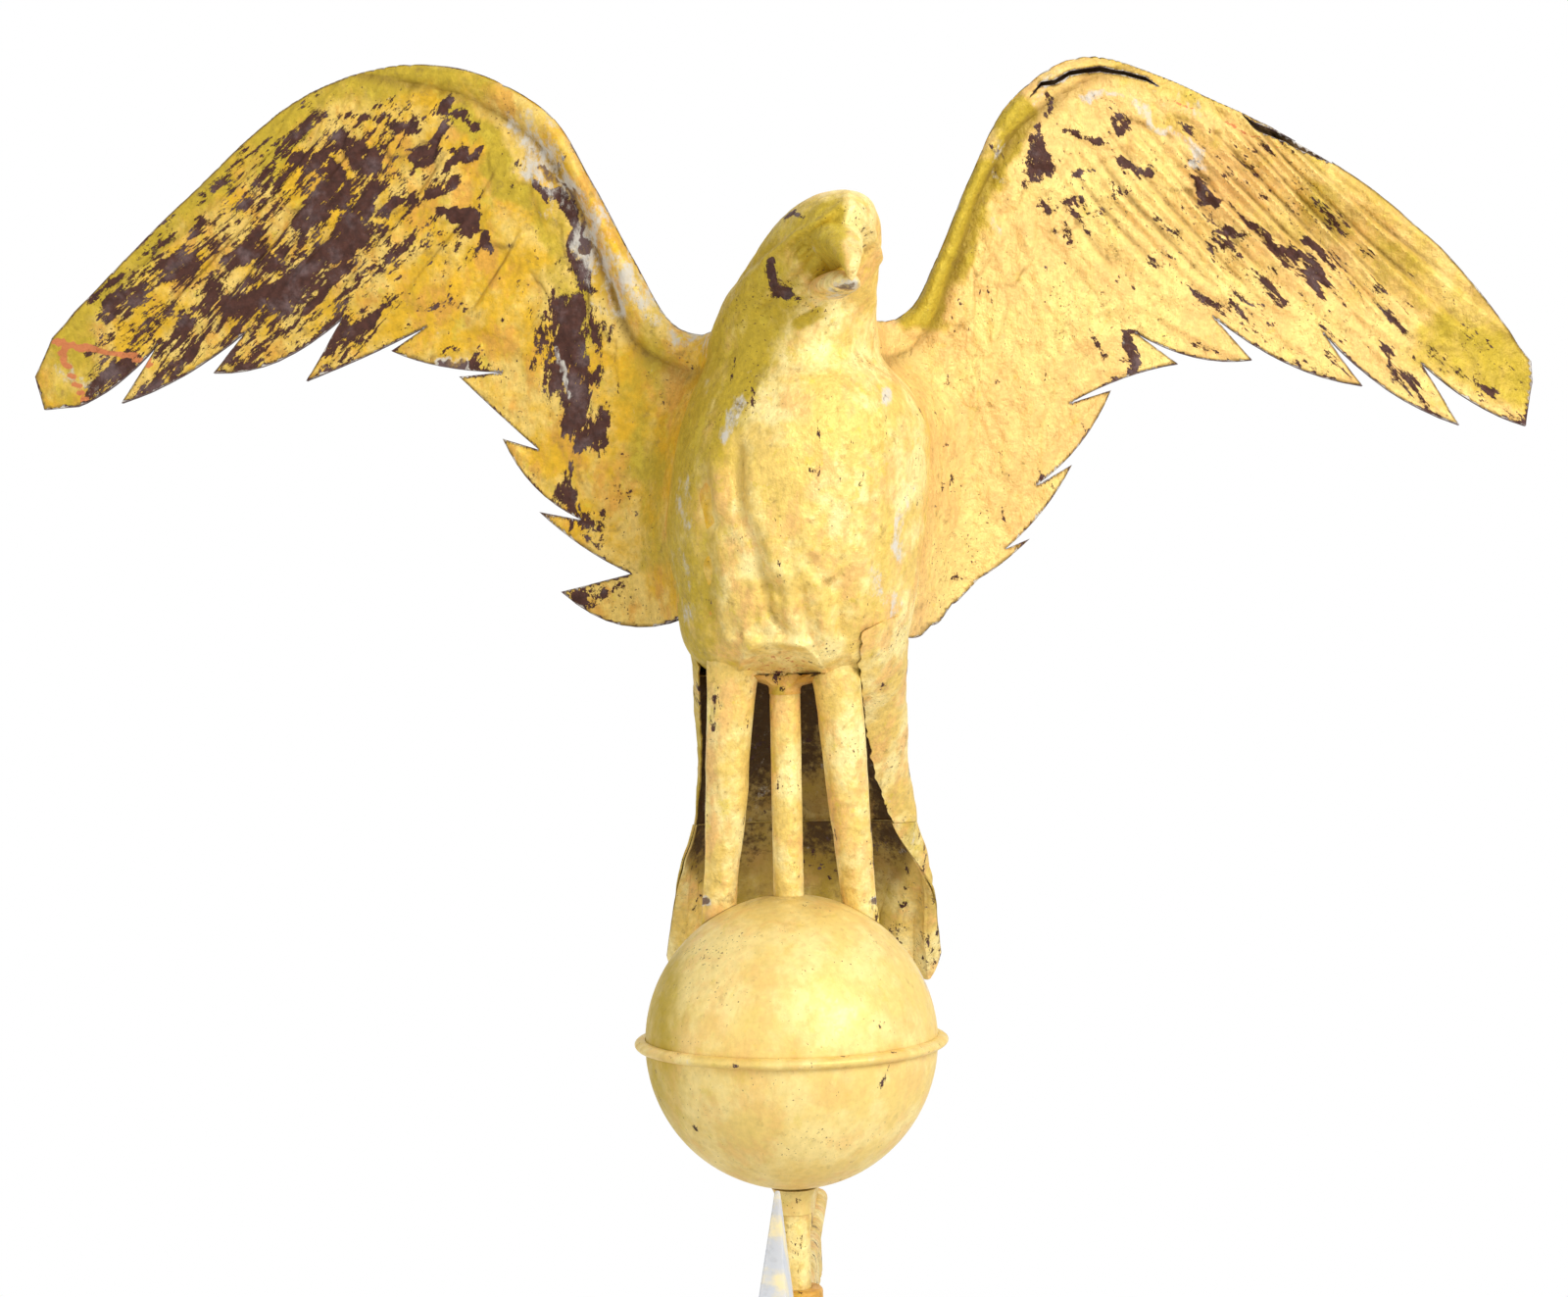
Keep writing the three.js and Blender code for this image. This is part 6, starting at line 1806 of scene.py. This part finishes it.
def arrow_point(a):
    """The cast arrow point: its barbed side outline, met by its diamond section and its nose wedge."""
    neck = a.shaft_radius + NECK_WALL
    shoulder = NECK_LENGTH - a.barb_notch
    side = [(-a.point_reach, 0), (-a.barb_place, -a.barb_height), (-a.barb_notch, -neck), (shoulder, -neck)]
    side += [(y, -z) for y, z in side[:0:-1]]
    half, thin = a.head_thick / 2, a.edge_thick / 2
    section = [(thin, -a.barb_height), (half, -neck), (half, neck), (thin, a.barb_height)]
    section += [(-x, z) for x, z in reversed(section)]
    nose = [(thin, -a.point_reach), (half, -a.barb_notch), (half, 0)]
    nose += [(-x, y) for x, y in reversed(nose)]
    piece = shown("arrow_head", prism([(y, z + a.height) for y, z in side], -0.04, 0.04, (1, 2, 0)))
    cut(piece, prism([(x, z + a.height) for x, z in section], -0.4, 0.0, (0, 2, 1)), "INTERSECT")
    cut(piece, prism(nose, -0.1, 0.4, (0, 1, 2)), "INTERSECT")
    socket = rounded(a.shaft_radius + FIT, 0, a.shaft_front + FIT, 2 * CUT_EDGE)
    cut(piece, turned_mesh(socket, 48, (0, -1, 0), (0, 0, a.height)))
    softened(piece, POINT_EDGE, 3)
    placed(piece, ["arrow_head"], "vane", "cast_zinc", 30)


def build_hub(a, t):
    """The casting on the tube that carries the arrow's shaft."""
    low, high = a.height - a.hub_height / 2, a.height + a.hub_height / 2
    hub = shown("arrow_hub", turned_mesh(rounded(a.hub_radius, low, high, HUB_EDGE), 80))
    boss = rounded(a.boss_radius, -a.boss_reach, a.boss_reach, SOFT_EDGE)
    cut(hub, turned_mesh(boss, 64, (0, 1, 0), (0, 0, a.height)), "UNION")
    bore = rounded(t.tube_radius + FIT, low - CUT_SPARE, high + CUT_SPARE, 2 * CUT_EDGE)
    cut(hub, turned_mesh(bore, 64))
    socket = rounded(a.shaft_radius + FIT, a.hub_radius + FIT, a.boss_reach + CUT_SPARE, 2 * CUT_EDGE)
    for way in (-1, 1):
        cut(hub, turned_mesh(socket, 48, (0, way, 0), (0, 0, a.height)))
    hole = rounded(t.screw_radius + FIT, 0, 2 * a.hub_radius, CUT_EDGE)
    cut(hub, turned_mesh(hole, 40, (1, 0, 0), (t.tube_radius + 2 * FIT, 0, a.height)))
    paint(hub.data, flake=0.25, olive=0.3, grey=0.25, dirt_and_shade=0.2)
    placed(hub, ["arrow_hub"], "vane", "browned")
    outer = a.hub_radius + SCREW_PROUD
    slotted_screw("hub_screw", t.tube_radius + 2 * FIT, outer, a.height, t.screw_radius, "vane")


def build_shafts(a):
    """The shaft's two lengths, each in its socket."""
    start = a.hub_radius + 2 * FIT
    for name, way, reach in (("arrow_shaft_front", -1, a.shaft_front), ("arrow_shaft_rear", 1, a.shaft_rear)):
        end, first, last = a.shaft_radius - FINE_EDGE, start + FINE_EDGE, reach - FINE_EDGE
        profile = [(0, start), (end, start)]
        profile += [(a.shaft_radius, first + (last - first) * k / 40) for k in range(41)]
        profile += [(end, reach), (0, reach)]
        mesh = dented(turned_mesh(profile, 48, (0, way, 0), (0, 0, a.height)), 0.00008, 0.02)
        paint(mesh, flake=0.2, olive=0.2, grey=0.3, dirt_and_shade=0.1)
        placed(shown(name, mesh), [name], "vane", "gilt_body")


def build_fletches(a, b):
    """The arrow's sheet feathers, nicked at the edge and creased along their ribs."""
    for name, way in (("arrow_fletch_upper", 1), ("arrow_fletch_lower", -1)):
        foot = a.shaft_radius + FIT
        teeth = 6
        pitch = a.fletch_length / teeth
        outline = [(a.fletch_root, foot), (a.fletch_root + a.fletch_length, foot)]
        outline.append((a.fletch_root + a.fletch_length + a.fletch_rake, a.fletch_height))
        for tooth in range(teeth - 1, 0, -1):
            back = a.fletch_root + a.fletch_rake + pitch * tooth
            outline += [(back, a.fletch_height), (back - NICK_DEPTH / 2, a.fletch_height - NICK_DEPTH)]
        outline.append((a.fletch_root + a.fletch_rake, a.fletch_height - NICK_DEPTH))

        def place(across, down, way=way, foot=foot, teeth=teeth):
            height = foot - SHEET_SPARE + (a.fletch_height + 2 * SHEET_SPARE - foot) * down
            slope = a.fletch_rake * (height - foot) / (a.fletch_height - foot)
            y = a.fletch_root - 2 * SHEET_SPARE + (a.fletch_length + 4 * SHEET_SPARE) * across + slope
            rib = 0.0005 * (np.abs(np.sin(across * teeth * 2 * math.pi)) - 0.5) * ease(down, 0.1, 0.3)
            return np.stack([b.sheet / 2 + rib, y, a.height + way * height], 1)

        piece = walled(shown(name, skin(name, 150, 60, place, (-1, 0.2, 0.1))), b.sheet)
        cut(piece, prism([(y, a.height + way * z) for y, z in outline], -0.02, 0.02, (1, 2, 0)), "INTERSECT")
        paint(piece.data, flake=0.42, olive=0.3, grey=0.3, dirt_and_shade=0.05)
        placed(piece, [name], "vane", "gilt_body")


class WEATHERVANE_OT_mast(bpy.types.Operator):
    """Build the fixed spindle with its collar, screw and washer"""

    bl_idname = "weathervane.mast"
    bl_label = "Spindle and Collar"

    def execute(self, context):
        build_mast(context.scene.weathervane.turned)
        return {"FINISHED"}


class WEATHERVANE_OT_tube(bpy.types.Operator):
    """Build the copper tube and its pivot cap"""

    bl_idname = "weathervane.tube"
    bl_label = "Tube and Cap"

    def execute(self, context):
        build_tube(context.scene.weathervane.turned)
        return {"FINISHED"}


class WEATHERVANE_OT_ball(bpy.types.Operator):
    """Build the ball's halves, its bead and the flare under it"""

    bl_idname = "weathervane.ball"
    bl_label = "Ball and Bead"

    def execute(self, context):
        v = context.scene.weathervane
        build_ball(v.body, v.turned)
        return {"FINISHED"}


class WEATHERVANE_OT_torso(bpy.types.Operator):
    """Build the breast, the back, the belly plate and the brace inside"""

    bl_idname = "weathervane.torso"
    bl_label = "Body"

    def execute(self, context):
        v = context.scene.weathervane
        build_breast(v.body)
        build_back(v.body)
        build_belly(v.body, v.turned)
        build_brace(v.body, v.turned)
        return {"FINISHED"}


class WEATHERVANE_OT_head(bpy.types.Operator):
    """Build the neck, the head and the beak"""

    bl_idname = "weathervane.head"
    bl_label = "Head and Beak"

    def execute(self, context):
        v = context.scene.weathervane
        build_head(v.body)
        build_beak(v.body)
        return {"FINISHED"}


class WEATHERVANE_OT_legs(bpy.types.Operator):
    """Build the legs"""

    bl_idname = "weathervane.legs"
    bl_label = "Legs"

    def execute(self, context):
        v = context.scene.weathervane
        build_legs(v.body, v.turned)
        return {"FINISHED"}


class WEATHERVANE_OT_wings(bpy.types.Operator):
    """Build the front and back mouldings of both wings"""

    bl_idname = "weathervane.wings"
    bl_label = "Wings"

    def execute(self, context):
        v = context.scene.weathervane
        left = (LEFT_LEAD_SHARES, LEFT_TIP_SHARES, LEFT_TEETH_SHARES)
        left += (LEFT_FLAKES, LEFT_GREYS, LEFT_SCRATCHES, LEFT_OLIVES_AND_SHADE, LEFT_SPLITS)
        right = (RIGHT_LEAD_SHARES, RIGHT_TIP_SHARES, RIGHT_TEETH_SHARES)
        right += (RIGHT_FLAKES, RIGHT_GREYS_AND_LIGHT, RIGHT_SCRATCHES, RIGHT_OLIVES_AND_SHADE, [])
        for word, side, tables in (("left", 1, left), ("right", -1, right)):
            build_wing(v, f"wing_{word}_front", side, True, *tables)
            build_wing(v, f"wing_{word}_back", side, False, *tables)
        return {"FINISHED"}


class WEATHERVANE_OT_tail(bpy.types.Operator):
    """Build the tail's two sheets"""

    bl_idname = "weathervane.tail"
    bl_label = "Tail"

    def execute(self, context):
        build_tail(context.scene.weathervane.body)
        return {"FINISHED"}


class WEATHERVANE_OT_arrow(bpy.types.Operator):
    """Build the arrow: hub, shaft, zinc point and sheet feathers"""

    bl_idname = "weathervane.arrow"
    bl_label = "Arrow"

    def execute(self, context):
        v = context.scene.weathervane
        arrow_point(v.arrow)
        build_hub(v.arrow, v.turned)
        build_shafts(v.arrow)
        build_fletches(v.arrow, v.body)
        return {"FINISHED"}


class WEATHERVANE_OT_stage(bpy.types.Operator):
    """Set up the floor, the lamps, the world and the camera"""

    bl_idname = "weathervane.stage"
    bl_label = "Stage"

    def execute(self, context):
        s = context.scene.weathervane.stage
        build_floor(s)
        build_world(s)
        for (name, spot, size), power in zip(LAMPS, (s.key_power, s.fill_power, s.fill_power)):
            lamp(name, spot, size, power)
        build_camera(s)
        context.scene.view_settings.view_transform = "Standard"
        return {"FINISHED"}


def lamp(name, spot, size, power):
    """A soft square lamp that looks at the eagle."""
    light = bpy.data.lights.new(name, "AREA")
    light.size = size
    light.energy = power
    holder = bpy.data.objects.new(name, light)
    holder.location = spot
    holder.rotation_euler = (Vector((0, 0, 0.5)) - Vector(spot)).to_track_quat("-Z", "Y").to_euler()
    bpy.context.scene.collection.objects.link(holder)


def seen_rays(tree):
    """One for rays that show the background: from the camera, a reflection or glass."""
    path = tree.nodes.new("ShaderNodeLightPath")
    seen = path.outputs["Is Camera Ray"]
    for kind in ("Is Glossy Ray", "Is Transmission Ray"):
        either = tree.nodes.new("ShaderNodeMath")
        either.operation = "MAXIMUM"
        tree.links.new(seen, either.inputs[0])
        tree.links.new(path.outputs[kind], either.inputs[1])
        seen = either.outputs[0]
    return seen


def build_floor(s):
    """A pale floor that takes the shadow near the vane and turns into the white background farther off."""
    bm = bmesh.new()
    bmesh.ops.create_grid(bm, x_segments=2, y_segments=2, size=s.floor_half)
    mesh = bpy.data.meshes.new("floor")
    bm.to_mesh(mesh)
    bm.free()
    floor = shown("floor", mesh)
    f = Finish("pale_floor")
    f.shader.inputs["Base Color"].default_value = (0.86, 0.86, 0.86, 1)
    f.shader.inputs["Roughness"].default_value = 0.9
    place = f.node("ShaderNodeTexCoord").outputs["Object"]
    reach = f.node("ShaderNodeVectorMath", operation="LENGTH")
    f.put(reach.inputs[0], place)
    far = f.step(reach.outputs["Value"], *SHADOW_FADE)
    glow = f.node("ShaderNodeEmission")
    blend = f.node("ShaderNodeMixShader")
    f.put(blend.inputs[0], f.math("MULTIPLY", far, seen_rays(f.tree)))
    f.tree.links.new(f.shader.outputs[0], blend.inputs[1])
    f.tree.links.new(glow.outputs[0], blend.inputs[2])
    out = next(n for n in f.tree.nodes if n.type == "OUTPUT_MATERIAL")
    f.tree.links.new(blend.outputs[0], out.inputs[0])
    mesh.materials.append(f.material)


def build_world(s):
    """Soft light from all round, and a white background."""
    world = bpy.data.worlds.new("studio")
    world.use_nodes = True
    tree = world.node_tree
    background = next(n for n in tree.nodes if n.type == "BACKGROUND")
    background.inputs["Color"].default_value = (1, 1, 1, 1)
    level = tree.nodes.new("ShaderNodeMapRange")
    level.inputs["To Min"].default_value = s.daylight
    level.inputs["To Max"].default_value = 1.0
    tree.links.new(seen_rays(tree), level.inputs["Value"])
    tree.links.new(level.outputs[0], background.inputs["Strength"])
    bpy.context.scene.world = world


def build_camera(s):
    """The camera at the photograph's place: level, a little to the eagle's left, and rolled."""
    data = bpy.data.cameras.new("camera")
    data.sensor_width = 36
    data.lens = s.camera_lens
    camera = bpy.data.objects.new("camera", data)
    right = Vector((math.cos(s.camera_turn), math.sin(s.camera_turn), 0))
    up = Vector((0, 0, 1))
    back = Vector((math.sin(s.camera_turn), -math.cos(s.camera_turn), 0))
    tilted_right = right * math.cos(s.camera_roll) - up * math.sin(s.camera_roll)
    tilted_up = right * math.sin(s.camera_roll) + up * math.cos(s.camera_roll)
    turn = Matrix((tilted_right, tilted_up, back)).transposed()
    place = back * s.camera_distance
    place.z = s.camera_height
    camera.matrix_world = Matrix.Translation(place) @ turn.to_4x4()
    bpy.context.scene.collection.objects.link(camera)
    bpy.context.scene.camera = camera


class WEATHERVANE_PT_panel(bpy.types.Panel):
    """Lists the weathervane's pieces and settings"""

    bl_label = "Eagle Weathervane"
    bl_idname = "WEATHERVANE_PT_panel"
    bl_space_type = "VIEW_3D"
    bl_region_type = "UI"
    bl_category = "Weathervane"

    def draw(self, context):
        settings = context.scene.weathervane
        for piece in PIECES:
            self.layout.operator(piece.bl_idname)
        for group in ("body", "wing", "turned", "arrow", "finish", "stage"):
            box = self.layout.box()
            part = getattr(settings, group)
            for key in part.__annotations__:
                box.prop(part, key)


SETTINGS = (BodySizes, WingSizes, TurnedSizes, ArrowSizes, FinishColours, StageSettings, VaneSettings)
PIECES = (
    WEATHERVANE_OT_mast,
    WEATHERVANE_OT_tube,
    WEATHERVANE_OT_ball,
    WEATHERVANE_OT_torso,
    WEATHERVANE_OT_head,
    WEATHERVANE_OT_legs,
    WEATHERVANE_OT_wings,
    WEATHERVANE_OT_tail,
    WEATHERVANE_OT_arrow,
    WEATHERVANE_OT_stage,
)


def register():
    """Adds the settings, operators and panel."""
    for item in SETTINGS + PIECES + (WEATHERVANE_PT_panel,):
        bpy.utils.register_class(item)
    bpy.types.Scene.weathervane = bpy.props.PointerProperty(type=VaneSettings)


def unregister():
    """Takes them away again."""
    del bpy.types.Scene.weathervane
    for item in reversed(SETTINGS + PIECES + (WEATHERVANE_PT_panel,)):
        bpy.utils.unregister_class(item)


def main():
    """Builds every piece and the stage."""
    register()
    bpy.ops.weathervane.mast()
    bpy.ops.weathervane.tube()
    bpy.ops.weathervane.ball()
    bpy.ops.weathervane.torso()
    bpy.ops.weathervane.head()
    bpy.ops.weathervane.legs()
    bpy.ops.weathervane.wings()
    bpy.ops.weathervane.tail()
    bpy.ops.weathervane.arrow()
    bpy.ops.weathervane.stage()
    bpy.context.view_layer.update()


if __name__ == "__main__":
    main()
